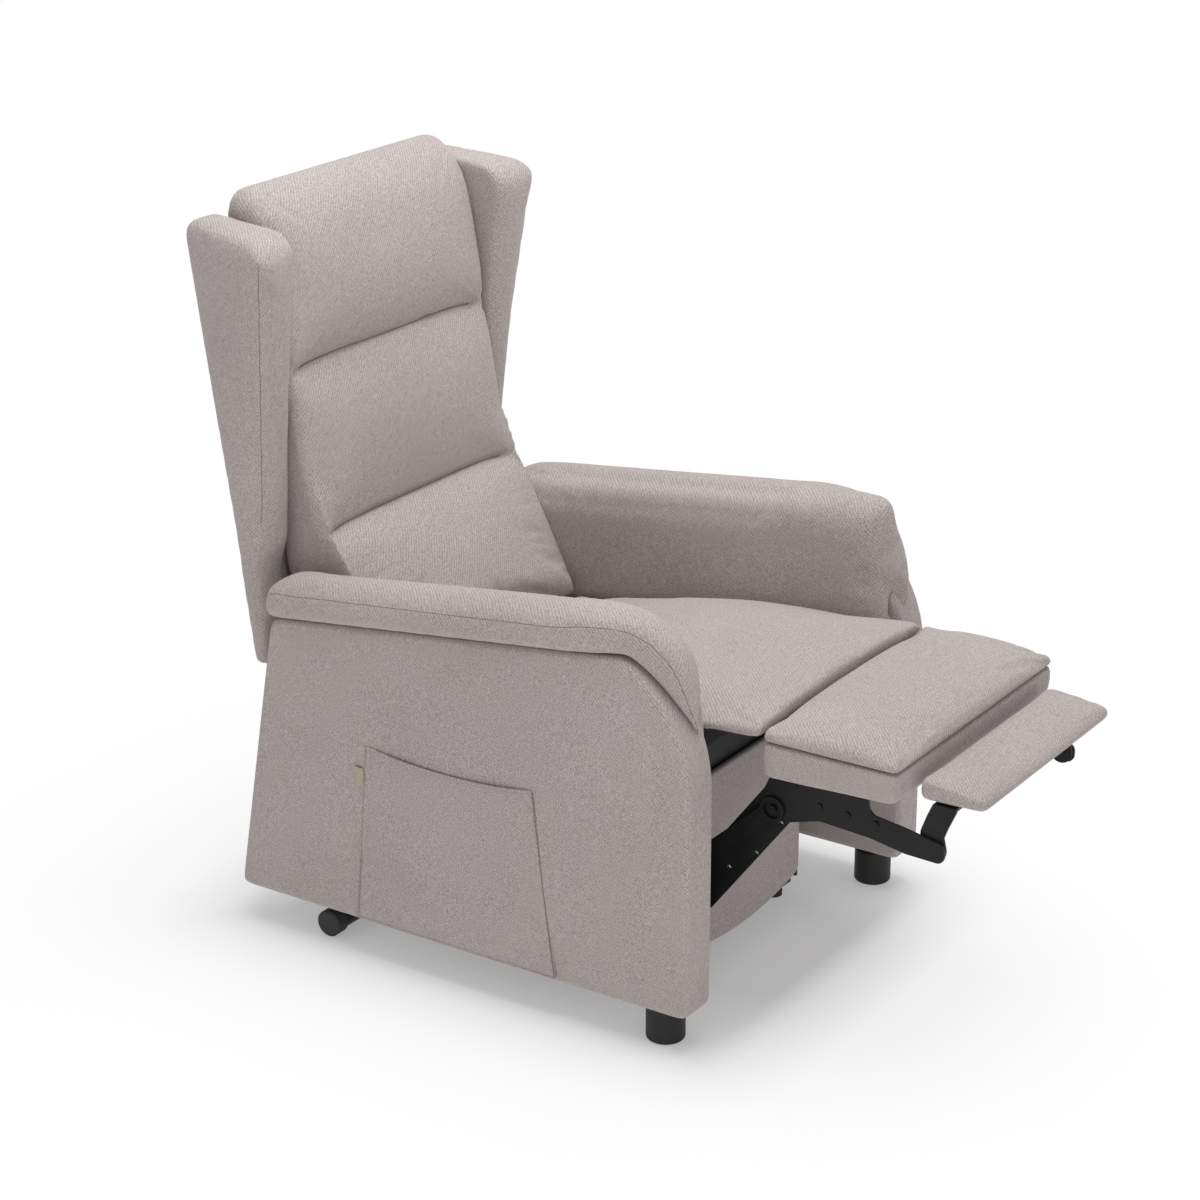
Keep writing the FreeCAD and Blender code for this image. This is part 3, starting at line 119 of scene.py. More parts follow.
# Back
BACK_LEAN = math.tan(math.radians(8.6))
BACK_REAR_Y = 575.0
BACK_REAR_Z = 557.0
BACK_HALF = 259.5
BACK_LOW_HALF = 251.0
BACK_LOW = 418.0
BACK_TOP = 1166.0
BACK_EDGE = 26.0
BACK_CORNER = 33.0
BACK_CORNER_FROM = 1068.0
BACK_WRAP = 27.0
BACK_SEAT_DEPTH = 56.0
UPPER_SEAM = 900.0
LOWER_SEAM = 647.0
CHANNEL_DEPTH = 24.0
CHANNEL_ABOVE = 13.0
CHANNEL_BELOW = 19.0

# Wings
WING_INSIDE = 262.4
WING_BOTTOM = 434.0
WING_TOP = 1133.0

# Footrest and flip pad
FOOT_HALF = 251.5
FOOT_REAR = -321.3
FOOT_FRONT = -541.0
FOOT_SEAM = 480.5
FOOT_EDGE = 12.0
FOOT_CROWN = 12.0
FOOT_UNDER_REAR = 425.0
FOOT_UNDER_FRONT = 433.0
FOOT_TOP_REAR = 501.0
FOOT_TOP_FRONT = 498.0
FLIP_HALF = 207.0
FLIP_REAR = -553.0
FLIP_FRONT = -659.0
FLIP_UNDER_REAR = 432.5
FLIP_UNDER_FRONT = 434.5
FLIP_TOP_REAR = 466.0
FLIP_TOP_FRONT = 454.0

# Side pocket: (y, z) of its corners
POCKET_REAR_TOP = (310, 363)
POCKET_FRONT_TOP = (2, 364)
POCKET_REAR_FOOT = (336, 67)
POCKET_FRONT_FOOT = (-38, 66)
POCKET_SAG = 46

# Room, in metres: lamps with their place, aim, size and power, and the camera with its own axes
ROOM = 30.0
LAMPS = (("overhead", (0.15, -0.1, 3.4), (0, 0, 0.5), 2.4, 85.0),
         ("front_left", (-3.3, -2.2, 0.7), (0, 0, 0.4), 1.6, 20.0),
         ("right_back", (2.6, 1.8, 2.4), (0, 0.2, 0.7), 1.8, 4.0))
LENS = 90.7
EYE = (-3.698, -2.324, 2.217)
EYE_RIGHT = (0.551691, -0.834048, 0.0)
EYE_UP = (0.297218, 0.196598, 0.934350)
EYE_BACK = (-0.779293, -0.515473, 0.356356)

# Cloth
STEPS = 20
SEAM_RADIUS = 0.8
SEAM_SINK = 0.3


def unit(v):
    """Vectors made one long."""
    return v / np.maximum(np.linalg.norm(v, axis=-1, keepdims=True), 1e-9)


def smooth_step(x, start, end):
    """0 before start, 1 after end, and the cubic 3t^2 - 2t^3 between them."""
    t = np.clip((x - start) / (end - start), 0, 1)
    return t * t * (3 - 2 * t)


def rounded(corners, radii, bulges, arc=7, run=14):
    """Closed outlines with round corners. corners is (stations, corners, 2). A corner's arc swings from
    one tangent point to the other about a centre on the corner's bisector, at radius / sin(half angle);
    the side after it is straight, plus bulge * 4w(1 - w) outwards, with w its share of the length."""
    corners = np.asarray(corners, float)
    radii = np.broadcast_to(np.asarray(radii, float), corners.shape[:2])[..., None]
    bulges = np.broadcast_to(np.asarray(bulges, float), corners.shape[:2])[..., None]
    back = unit(np.roll(corners, 1, 1) - corners)
    ahead = unit(np.roll(corners, -1, 1) - corners)
    half = np.arccos(np.clip((back * ahead).sum(-1, keepdims=True), -1, 1)) / 2
    reach = radii / np.tan(half)
    starts = corners + back * reach
    ends = corners + ahead * reach
    centres = corners + unit(back + ahead) * radii / np.sin(half)
    swing = math.pi - 2 * half
    a = (starts - centres)[:, :, None]
    b = (ends - centres)[:, :, None]
    swing = swing[:, :, None]
    w = np.linspace(0, 1, arc)[None, None, :, None]
    arcs = centres[:, :, None] + (np.sin((1 - w) * swing) * a + np.sin(w * swing) * b) / np.sin(swing)
    w = np.linspace(0, 1, run + 2)[1:-1][None, None, :, None]
    after = np.roll(starts, -1, 1)[:, :, None]
    sides = ends[:, :, None] * (1 - w) + after * w
    middle = corners.mean(1, keepdims=True)[:, :, None]
    along = unit(after - ends[:, :, None])
    away = sides - middle
    away = unit(away - along * (away * along).sum(-1, keepdims=True))
    sides = sides + away * bulges[:, :, None] * 4 * w * (1 - w)
    return np.concatenate([arcs, sides], 2).reshape(corners.shape[0], -1, 2)


def eased(values, rounds):
    """A row of values or places, each replaced by (last + 2 * own + next) / 4 that many times; its ends
    stay."""
    values = values.copy()
    for _ in range(rounds):
        values[1:-1] = (values[:-2] + 2 * values[1:-1] + values[2:]) / 4
    return values


def spread(count, power=1.7):
    """Places from -1 to 1 that crowd towards both ends: sign(t) * (1 - (1 - |t|)^power)."""
    t = np.linspace(-1, 1, count)
    return np.sign(t) * (1 - (1 - np.abs(t)) ** power)


def edge_round(x, half, radius):
    """How far a rounded end has fallen at distance x from the middle: radius - sqrt(radius^2 - t^2)."""
    t = np.clip(np.abs(x) - (half - radius), 0, radius * 0.999)
    return radius - np.sqrt(radius ** 2 - t ** 2)


def corner(x, y, z):
    """A corner of the outlines at stations x: its y and z, each one number or one for each station."""
    return np.stack(np.broadcast_arrays(y, z, x)[:2], -1)


def even_outline(corners, count):
    """A closed outline resampled at equal steps, its corners eased by averaging neighbours."""
    corners = np.asarray(corners, float)
    closed = np.concatenate([corners, corners[:1]])
    at = np.concatenate([[0], np.cumsum(np.linalg.norm(np.diff(closed, axis=0), axis=1))])
    s = np.linspace(0, at[-1], count, endpoint=False)
    outline = np.stack([np.interp(s, at, closed[:, 0]), np.interp(s, at, closed[:, 1])], 1)
    for _ in range(3):
        outline = (np.roll(outline, 1, 0) + 2 * outline + np.roll(outline, -1, 0)) / 4
    return outline


def board_rings(outline, axis, faces, radius, puffs, steps, shares):
    """Rings of a padded board's outline, from one face to the other: along the thickness they shrink by a
    rounded edge, and over each face they close in on the middle by a share s while the face rises by
    puff * (1 - (1 - s)^4). faces, puffs and shares hold the first face's value and the last face's."""
    tangent = unit(np.roll(outline, -1, 0) - np.roll(outline, 1, 0))
    inward = np.stack([-tangent[:, 1], tangent[:, 0]], 1)
    middle = outline.mean(0)
    if ((middle - outline) * inward).sum() < 0:
        inward = -inward
    turn = np.linspace(0, math.pi / 2, steps)
    rise = [puff * (1 - (1 - share) ** 4) for puff, share in zip(puffs, shares)]
    flat = [np.full_like(share, radius) for share in shares]
    edge = radius * (1 - np.cos(turn))
    inset = radius * (1 - np.sin(turn))
    none = np.zeros_like(turn)
    depths = np.concatenate([(faces[0] - rise[0])[::-1], (faces[0] + edge)[1:], (faces[1] - edge)[-2::-1],
                             (faces[1] + rise[1])[1:]])
    insets = np.concatenate([flat[0], inset[1:], inset[-2::-1], flat[1][1:]])
    closed_in = np.concatenate([shares[0][::-1], none[1:], none[1:], shares[1][1:]])
    rings = []
    for depth, inset, share in zip(depths, insets, closed_in):
        level = (outline + inward * inset) * (1 - share) + middle * share
        rings.append(np.insert(level, axis, depth, axis=1))
    return np.array(rings)


def across(x, outlines):
    """Outlines in (y, z), one for each distance x across the chair, as rings in space."""
    x = np.broadcast_to(x[:, None, None], outlines.shape[:2] + (1,))
    return np.concatenate([x, outlines], -1)


def skin(rings):
    """Vertices and faces of a closed skin over the rings, each end shut by a fan to its middle."""
    count, around = rings.shape[:2]
    verts = np.concatenate([rings.reshape(-1, 3), rings[0].mean(0)[None], rings[-1].mean(0)[None]])
    i = np.arange(count - 1)[:, None] * around
    j = np.arange(around)[None]
    k = (j + 1) % around
    quads = np.stack([i + j, i + k, i + around + k, i + around + j], -1).reshape(-1, 4)
    j = j[0]
    k = k[0]
    last = (count - 1) * around
    first_fan = np.stack([k, j, np.full(around, count * around)], -1)
    last_fan = np.stack([last + j, last + k, np.full(around, count * around + 1)], -1)
    return verts, quads.tolist() + first_fan.tolist() + last_fan.tolist()


def make(name, verts, faces, finish, body, *nodes):
    """A piece with its place in its mesh, its faces turned outwards, on a body, in place of CAD nodes."""
    mesh = bpy.data.meshes.new(name)
    mesh.from_pydata((np.asarray(verts) * MM).tolist(), [], faces)
    shell = bmesh.new()
    shell.from_mesh(mesh)
    bmesh.ops.remove_doubles(shell, verts=shell.verts, dist=1e-6)
    bmesh.ops.recalc_face_normals(shell, faces=shell.faces)
    shell.to_mesh(mesh)
    shell.free()
    mesh.polygons.foreach_set("use_smooth", np.ones(len(mesh.polygons), bool))
    mesh.materials.append(finish)
    piece = bpy.data.objects.new(name, mesh)
    bpy.context.scene.collection.objects.link(piece)
    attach(piece, body)
    if nodes:
        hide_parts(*nodes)
    return piece


def skinned(name, rings, finish, body, *nodes):
    """A piece whose skin runs over the rings."""
    return make(name, *skin(rings), finish, body, *nodes)


def points_of(piece):
    """A piece's vertices in millimetres."""
    flat = np.empty(len(piece.data.vertices) * 3)
    piece.data.vertices.foreach_get("co", flat)
    return flat.reshape(-1, 3) / MM


def normals_of(piece):
    """A piece's vertex normals."""
    flat = np.empty(len(piece.data.vertices) * 3)
    piece.data.vertices.foreach_get("normal", flat)
    return flat.reshape(-1, 3)


def set_points(piece, points):
    """Move a piece's vertices to these places in millimetres."""
    piece.data.vertices.foreach_set("co", (points * MM).ravel())
    piece.data.update()


def mirrored(piece, name, *nodes):
    """The same piece for the other side: x changes sign, and the faces are turned back outwards."""
    mesh = piece.data.copy()
    mesh.name = name
    mesh.transform(Matrix.Diagonal((-1, 1, 1, 1)))
    mesh.flip_normals()
    twin = bpy.data.objects.new(name, mesh)
    bpy.context.scene.collection.objects.link(twin)
    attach(twin, piece["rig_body"])
    if nodes:
        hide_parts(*nodes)
    return twin


STUFFED = []


def remeshed(piece, voxel):
    """Even out a piece's mesh with a voxel remesh of that size in millimetres, and smooth its steps."""
    step = piece.modifiers.new("even", "REMESH")
    step.mode = "VOXEL"
    step.voxel_size = voxel * MM
    step.use_smooth_shade = True
    step = piece.modifiers.new("soft", "SMOOTH")
    step.factor = 0.5
    step.iterations = 4
    taken = bpy.data.meshes.new_from_object(piece.evaluated_get(bpy.context.evaluated_depsgraph_get()))
    piece.modifiers.clear()
    finish = piece.data.materials[0]
    piece.data = taken
    taken.materials.clear()
    taken.materials.append(finish)


def stuff(piece, limit, voxel, pressure, held):
    """Note a cushion to be blown up. held gives how firmly each place is sewn down, from 0 to 1."""
    remeshed(piece, voxel)
    STUFFED.append((piece, limit, pressure, held))
    return piece


def blow_up():
    """Blow up all the noted cushions with simulated cloth. A point that moved by d is set back to
    limit * tanh(d / limit) along its way."""
    scene = bpy.context.scene
    for piece, _, pressure, held in STUFFED:
        cloth = piece.modifiers.new("cloth", "CLOTH")
        rule = cloth.settings
        rule.quality = 4
        rule.mass = 0.3
        rule.tension_stiffness = 12.0
        rule.compression_stiffness = 12.0
        rule.shear_stiffness = 6.0
        rule.bending_stiffness = 0.6
        rule.use_pressure = True
        rule.uniform_pressure_force = pressure
        rule.effector_weights.gravity = 0.0
        cloth.collision_settings.use_collision = False
        cloth.point_cache.frame_start = 1
        cloth.point_cache.frame_end = STEPS
        group = piece.vertex_groups.new(name="sewn")
        weights = np.round(np.clip(held(points_of(piece)), 0, 1), 1)
        for level in np.unique(weights[weights > 0]):
            group.add(np.flatnonzero(weights == level).tolist(), float(level), "REPLACE")
        rule.vertex_group_mass = "sewn"
        rule.pin_stiffness = 1.0
    for step in range(1, STEPS + 1):
        scene.frame_set(step)
    graph = bpy.context.evaluated_depsgraph_get()
    for piece, limit, _, _ in STUFFED:
        start = points_of(piece)
        blown = piece.evaluated_get(graph).to_mesh()
        flat = np.empty(len(blown.vertices) * 3)
        blown.vertices.foreach_get("co", flat)
        move = flat.reshape(-1, 3) / MM - start
        size = np.linalg.norm(move, axis=1, keepdims=True)
        piece.modifiers.clear()
        piece.vertex_groups.clear()
        set_points(piece, start + move * limit * np.tanh(size / limit) / np.maximum(size, 1e-6))
    scene.frame_set(1)


def refine(piece):
    """Add a subdivision and keep its result as the mesh."""
    step = piece.modifiers.new("fine", "SUBSURF")
    step.levels = 1
    step.render_levels = 1
    taken = bpy.data.meshes.new_from_object(piece.evaluated_get(bpy.context.evaluated_depsgraph_get()))
    piece.modifiers.clear()
    piece.data = taken


def curve_through(points, count):
    """A smooth line through the points, made of cubics whose slope at each point is half the chord
    between its neighbours."""
    p = np.asarray(points, float)
    p = np.concatenate([2 * p[:1] - p[1:2], p, 2 * p[-1:] - p[-2:-1]])
    s = np.linspace(0, len(p) - 3 - 1e-9, count)
    i = s.astype(int)
    t = (s - i)[:, None]
    a, b, c, d = p[i], p[i + 1], p[i + 2], p[i + 3]
    square = (2 * a - 5 * b + 4 * c - d) * t ** 2
    cube = (3 * b - a - 3 * c + d) * t ** 3
    return 0.5 * (2 * b + (c - a) * t + square + cube)


def search_tree(piece):
    """A tree of a piece's faces, to find places on it."""
    shell = bmesh.new()
    shell.from_mesh(piece.data)
    tree = BVHTree.FromBMesh(shell)
    shell.free()
    return tree


def on_surface(piece, line, lift):
    """Each point of a line brought to the nearest place on a piece, and lifted off it. Gives the places
    and the surface's direction there."""
    tree = search_tree(piece)
    found = [tree.find_nearest(Vector(p * MM)) for p in line]
    places = np.array([f[0] for f in found]) / MM
    out = np.array([f[1] for f in found])
    return places + out * lift, out


def from_front(piece, x, z):
    """Where lines going straight back from the front at (x, z) meet a piece."""
    tree = search_tree(piece)
    x = np.clip(x, -255, 255)
    hits = [tree.ray_cast(Vector((a * MM, 0.0, b * MM)), Vector((0, 1, 0)))[0] for a, b in zip(x, z)]
    return np.array(hits) / MM


def rope_rings(line, radius, side, flat, around=8):
    """Rings round a line: at angle a the offset is radius * (cos a * side * flat + sin a * up), where up
    is square to the line and to side."""
    along = unit(np.gradient(line, axis=0))
    side = unit(side - along * (side * along).sum(1, keepdims=True))
    up = np.cross(along, side)
    a = np.linspace(0, 2 * math.pi, around, endpoint=False)[None, :, None]
    return line[:, None] + radius * (np.cos(a) * side[:, None] * flat + np.sin(a) * up[:, None])


def cord(name, line, radius, side, finish, body, flat=0.7):
    """A thread or a hem along a line, flattened towards side."""
    rings = rope_rings(line, radius, np.broadcast_to(side, line.shape), flat)
    return skinned(name, rings, finish, body)


def seam(name, piece, points, count, body):
    """A sewn seam that lies more than half sunk in a piece along a smooth line through the points."""
    line, out = on_surface(piece, curve_through(points, count), -SEAM_SINK)
    return cord(name, eased(line, 3), SEAM_RADIUS, out, SEAM_AND_CREASE_SHADE, body)


def groove(piece, points, depth, width, count):
    """Press a piece in along a line: each point moves in by depth * exp(-(distance / width)^2)."""
    line = curve_through(points, count)
    co = points_of(piece)
    low = line.min(0) - 4 * width
    high = line.max(0) + 4 * width
    near = np.flatnonzero(((co > low) & (co < high)).all(1))
    gap = np.full(len(near), 1e9)
    for p in line:
        gap = np.minimum(gap, ((co[near] - p) ** 2).sum(1))
    co[near] -= normals_of(piece)[near] * (depth * np.exp(-gap / width ** 2))[:, None]
    set_points(piece, co)


def tree_of(name):
    """A new material, its nodes and its principled shader."""
    finish = bpy.data.materials.new(name)
    finish.use_nodes = True
    tree = finish.node_tree
    return finish, tree, tree.nodes["Principled BSDF"]


def add(tree, kind, settings=None, **inputs):
    """A node with its settings and the values or links of its inputs; a name's _ stands for a space."""
    node = tree.nodes.new("ShaderNode" + kind)
    for key, value in (settings or {}).items():
        setattr(node, key, value)
    for key, value in inputs.items():
        index = int(key[1:]) if key[0] == "i" and key[1:].isdigit() else key.replace("_", " ")
        if isinstance(value, bpy.types.NodeSocket):
            tree.links.new(value, node.inputs[index])
        else:
            node.inputs[index].default_value = value
    return node


def maths(tree, operation, a, b=0.0, c=0.0):
    """The output of a Math node."""
    return add(tree, "Math", {"operation": operation}, i0=a, i1=b, i2=c).outputs[0]


def ramp(tree, factor, stops):
    """The colour of a ramp with stops of (place, colour)."""
    node = add(tree, "ValToRGB", i0=factor)
    points = node.color_ramp.elements
    while len(points) < len(stops):
        points.new(0.5)
    for point, (place, colour) in zip(points, stops):
        point.position = place
        point.color = (*colour, 1)
    return node.outputs[0]


def srgb(r, g, b):
    """A colour given as 0 to 255, made linear."""
    return tuple((c / 255 / 12.92) if c <= 10 else (((c / 255 + 0.055) / 1.055) ** 2.4) for c in (r, g, b))


def weave_group(pitch, rib):
    """Threads in one plane: 0.45 sin(ka) sin(kb) for the crossing threads, 0.3 sin(k(a + b)) for the
    twill and 0.25 sin(r(a - b)) for the wider ribs; k and r are a full turn over each pitch in metres."""
    group = bpy.data.node_groups.new("weave_in_a_plane", "ShaderNodeTree")
    for name in ("a", "b"):
        group.interface.new_socket(name, in_out="INPUT", socket_type="NodeSocketFloat")
    group.interface.new_socket("height", in_out="OUTPUT", socket_type="NodeSocketFloat")
    enter = group.nodes.new("NodeGroupInput")
    leave = group.nodes.new("NodeGroupOutput")
    k = 2 * math.pi / pitch
    a, b = enter.outputs["a"], enter.outputs["b"]
    warp = maths(group, "SINE", maths(group, "MULTIPLY", a, k))
    weft = maths(group, "SINE", maths(group, "MULTIPLY", b, k))
    cross = maths(group, "MULTIPLY", maths(group, "MULTIPLY", warp, weft), 0.45)
    twill = maths(group, "SINE", maths(group, "MULTIPLY", maths(group, "ADD", a, b), k))
    ribs = maths(group, "SINE", maths(group, "MULTIPLY", maths(group, "SUBTRACT", a, b), 2 * math.pi / rib))
    total = maths(group, "MULTIPLY_ADD", twill, 0.3, cross)
    group.links.new(maths(group, "MULTIPLY_ADD", ribs, 0.25, total), leave.inputs["height"])
    return group


def woven(name, dark, middle, light, weave, bump=0.35):
    """Woven cloth on object coordinates: the weave of the plane that each place faces most, slubs and
    flecks of lighter and darker yarn, and a slow change of shade over the piece."""
    finish, tree, shader = tree_of(name)
    place = add(tree, "TexCoord")
    drift = add(tree, "TexNoise", Vector=place.outputs["Object"], Scale=55.0, Detail=1.0)
    push = add(tree, "VectorMath", {"operation": "SUBTRACT"}, i0=drift.outputs["Color"], i1=(0.5, 0.5, 0.5))
    shift = add(tree, "VectorMath", {"operation": "SCALE"}, i0=push.outputs[0], Scale=0.0026)
    bent = add(tree, "VectorMath", {"operation": "ADD"}, i0=place.outputs["Object"], i1=shift.outputs[0])
    xyz = add(tree, "SeparateXYZ", i0=bent.outputs[0]).outputs
    facing = add(tree, "SeparateXYZ", i0=place.outputs["Normal"]).outputs
    total = None
    weight_sum = None
    for normal_axis, a, b in ((0, 1, 2), (1, 0, 2), (2, 0, 1)):
        weight = maths(tree, "POWER", maths(tree, "ABSOLUTE", facing[normal_axis]), 6.0)
        plane = add(tree, "Group", {"node_tree": weave}, i0=xyz[a], i1=xyz[b])
        part = maths(tree, "MULTIPLY", plane.outputs[0], weight)
        total = part if total is None else maths(tree, "ADD", total, part)
        weight_sum = weight if weight_sum is None else maths(tree, "ADD", weight_sum, weight)
    threads = maths(tree, "DIVIDE", total, weight_sum)
    flecks = add(tree, "TexNoise", Vector=place.outputs["Object"], Scale=430.0, Detail=2.0, Roughness=0.65)
    slubs = add(tree, "TexNoise", Vector=place.outputs["Object"], Scale=210.0, Detail=2.0)
    shade = add(tree, "TexNoise", Vector=place.outputs["Object"], Scale=5.0, Detail=2.0)
    tone = maths(tree, "MULTIPLY_ADD", threads, 0.38, 0.5)
    for noise, amount in ((flecks, 1.1), (slubs, 0.22), (shade, 0.14)):
        change = maths(tree, "MULTIPLY_ADD", noise.outputs[0], amount, -amount / 2)
        tone = maths(tree, "ADD", tone, change)
    colour = ramp(tree, tone, [(0.0, dark), (0.5, middle), (1.0, light)])
    tree.links.new(colour, shader.inputs["Base Color"])
    high = maths(tree, "ADD", threads, maths(tree, "MULTIPLY", flecks.outputs[0], 1.2))
    lift = add(tree, "Bump", Strength=bump, Distance=0.0006, Height=high)
    tree.links.new(lift.outputs[0], shader.inputs["Normal"])
    shader.inputs["Roughness"].default_value = 0.95
    shader.inputs["Specular IOR Level"].default_value = 0.2
    shader.inputs["Sheen Weight"].default_value = 0.12
    shader.inputs["Sheen Roughness"].default_value = 0.5
    return finish


def coated(name, dark, light, roughness, scale, bump, metallic=0.0, spread_of_gloss=0.12, shine=0.5):
    """A hard finish: two tones mixed by noise, a fine grain in the surface and uneven gloss. shine is
    the strength of its highlights."""
    finish, tree, shader = tree_of(name)
    place = add(tree, "TexCoord").outputs["Object"]
    grain = add(tree, "TexNoise", Vector=place, Scale=scale, Detail=3.0, Roughness=0.6)
    wide = add(tree, "TexNoise", Vector=place, Scale=14.0, Detail=3.0)
    mix = maths(tree, "ADD", maths(tree, "MULTIPLY", grain.outputs[0], 0.5),
                maths(tree, "MULTIPLY", wide.outputs[0], 0.5))
    tree.links.new(ramp(tree, mix, [(0.3, dark), (0.7, light)]), shader.inputs["Base Color"])
    gloss = add(tree, "MapRange", Value=wide.outputs[0], To_Min=roughness - spread_of_gloss,
                To_Max=roughness + spread_of_gloss)
    tree.links.new(gloss.outputs[0], shader.inputs["Roughness"])
    lift = add(tree, "Bump", Strength=bump, Distance=0.0003, Height=grain.outputs[0])
    tree.links.new(lift.outputs[0], shader.inputs["Normal"])
    shader.inputs["Metallic"].default_value = metallic
    shader.inputs["Specular IOR Level"].default_value = shine
    return finish


def wooden(name, dark, light, across_scale, layers=0.0):
    """Wood: long grain from noise stretched along the piece, with ply layers where asked for."""
    finish, tree, shader = tree_of(name)
    place = add(tree, "TexCoord").outputs["Object"]
    stretched = add(tree, "Mapping", Vector=place, Scale=(across_scale, 3.0, across_scale))
    grain = add(tree, "TexNoise", Vector=stretched.outputs[0], Scale=3.0, Detail=6.0, Roughness=0.6)
    value = grain.outputs[0]
    if layers:
        x = add(tree, "SeparateXYZ", i0=place).outputs[0]
        bands = maths(tree, "SINE", maths(tree, "MULTIPLY", x, 2 * math.pi / layers))
        value = maths(tree, "MULTIPLY_ADD", bands, 0.15, value)
    tree.links.new(ramp(tree, value, [(0.3, dark), (0.7, light)]), shader.inputs["Base Color"])
    lift = add(tree, "Bump", Strength=0.2, Distance=0.0004, Height=value)
    tree.links.new(lift.outputs[0], shader.inputs["Normal"])
    shader.inputs["Roughness"].default_value = 0.65
    return finish


WEAVE = weave_group(0.0034, 0.0062)
FABRIC = woven("upholstery_fabric", srgb(106, 96, 94), srgb(170, 160, 158), srgb(216, 208, 206), WEAVE)
# darker than the cloth: the seams' own colour, and in the back's two creases painted shade
SEAM_AND_CREASE_SHADE = woven("seam_thread_and_crease_shade", srgb(92, 83, 80), srgb(128, 118, 115), srgb(158, 148, 145), WEAVE)
LABEL = woven("label_cloth", srgb(120, 110, 88), srgb(172, 162, 136), srgb(206, 198, 174), WEAVE, 0.2)
# near-black cloth, for the faces under the seat's flap
NEAR_BLACK_CLOTH = woven("near_black_cloth", srgb(8, 7, 7), srgb(16, 15, 15), srgb(26, 24, 24), WEAVE)
WEBBING = woven("webbing", srgb(46, 42, 40), srgb(78, 72, 68), srgb(110, 102, 96), WEAVE)
BLACK_STEEL = coated("black_steel", (0.006, 0.006, 0.006), (0.014, 0.014, 0.014), 0.42, 260.0, 0.25,
                     shine=0.22)
ROD_STEEL = coated("rod_steel", (0.42, 0.42, 0.43), (0.60, 0.60, 0.61), 0.24, 420.0, 0.06, 1.0, 0.06)
ZINC = coated("zinc_steel", (0.34, 0.35, 0.36), (0.58, 0.58, 0.57), 0.38, 240.0, 0.12, 1.0)
ALUMINIUM = coated("actuator_aluminium", (0.40, 0.41, 0.42), (0.55, 0.56, 0.57), 0.42, 300.0, 0.12, 1.0)
PLASTIC = coated("black_plastic", (0.009, 0.009, 0.009), (0.020, 0.020, 0.020), 0.55, 900.0, 0.35, shine=0.3)
RUBBER = coated("black_rubber", (0.016, 0.016, 0.016), (0.030, 0.030, 0.030), 0.75, 600.0, 0.4)
PLYWOOD = wooden("plywood", srgb(168, 130, 88), srgb(214, 182, 140), 26.0, 0.0026)
BEECH = wooden("beech", srgb(176, 132, 92), srgb(216, 178, 136), 34.0)
# beech coloured near-black, for the rails under the seat
NEAR_BLACK_BEECH = wooden("near_black_beech", srgb(12, 11, 10), srgb(26, 23, 21), 34.0)

FINISHES = {
    "black_steel": BLACK_STEEL, "rod_steel": ROD_STEEL, "zinc_steel": ZINC, "actuator_aluminium": ALUMINIUM,
    "black_plastic": PLASTIC, "black_rubber": RUBBER, "plywood": PLYWOOD, "beech": BEECH,
    "webbing": WEBBING, "label_cloth": LABEL, "upholstery_fabric": FABRIC,
}


def finish_frame():
    """Give each CAD node the finish that its material slot in the record asks for, but the cross rails and
    seat side rails get near-black beech.
    """
    slots = frame["record"]["physics"].get("node_materials", {})
    for name, node in frame["nodes"].items():
        slot = slots.get(name) or (node.data.materials[0].name if node.data.materials else "black_steel")
        slot = slot.split(".")[0]
        node.data.materials.clear()
        # the rails under the seat front are coloured near-black
        near_black = name in ("cross_rails", "seat_side_rails")
        node.data.materials.append(NEAR_BLACK_BEECH if near_black else FINISHES.get(slot, BLACK_STEEL))


def arm_height(y):
    """Height of the arm's crown, which falls towards the back."""
    return ARM_CROWN - ARM_SLOPE * (y - ARM_CROWN_Y)


def back_rear(z):
    """Where the rear face of the back lies at a height."""
    return BACK_REAR_Y + BACK_LEAN * (z - BACK_REAR_Z)


def arm_underside(y):
    """Height of a panel's top, just under the arm."""
    return arm_height(y) - ARM_ROLL - 0.3


def panel_curve():
    """The panel's curved front edge: its top end under the arm, and its centre."""
    centre_y = PANEL_FRONT + PANEL_RADIUS
    top_y = centre_y - math.sqrt(PANEL_RADIUS ** 2 - PANEL_RISE ** 2)
    top_z = arm_underside(top_y)
    return (top_y, top_z), (centre_y, top_z - PANEL_RISE)


def side_panel():
    """The firm padded panels under the arms, with slow ripples in the cloth of the outer face."""
    angle = np.linspace(0, math.asin(PANEL_RISE / PANEL_RADIUS), 22)
    centre = panel_curve()[1]
    arc = np.stack([centre[0] - PANEL_RADIUS * np.cos(angle), centre[1] + PANEL_RADIUS * np.sin(angle)], 1)
    rear_top = (PANEL_REAR_TOP, arm_underside(PANEL_REAR_TOP))
    corners = [(PANEL_REAR_BOTTOM, PANEL_BOTTOM), (PANEL_FRONT, PANEL_BOTTOM), *arc, rear_top]
    outline = even_outline(corners, 260)
    rings = board_rings(outline, 0, (PANEL_INSIDE + COVER_GAP, PANEL_OUTSIDE), PANEL_EDGE,
                        (0.0, PANEL_PUFF), 7, (np.linspace(0, 0.92, 9), np.linspace(0, 0.97, 14)))
    panel = skinned("side_panel_cover_left", rings, FABRIC, "chassis", "side_panel_left")
    co = points_of(panel)
    outer = smooth_step(co[:, 0], PANEL_OUTSIDE - 2, PANEL_OUTSIDE + 0.5)
    ripple = np.sin(co[:, 1] / 71 + 1.3) * np.sin(co[:, 2] / 93 + 0.4)
    ripple += 0.6 * np.sin((co[:, 1] - co[:, 2]) / 47)
    co[:, 0] += outer * ripple * 0.7
    set_points(panel, co)
    refine(panel)
    twin = mirrored(panel, "side_panel_cover_right", "side_panel_right")


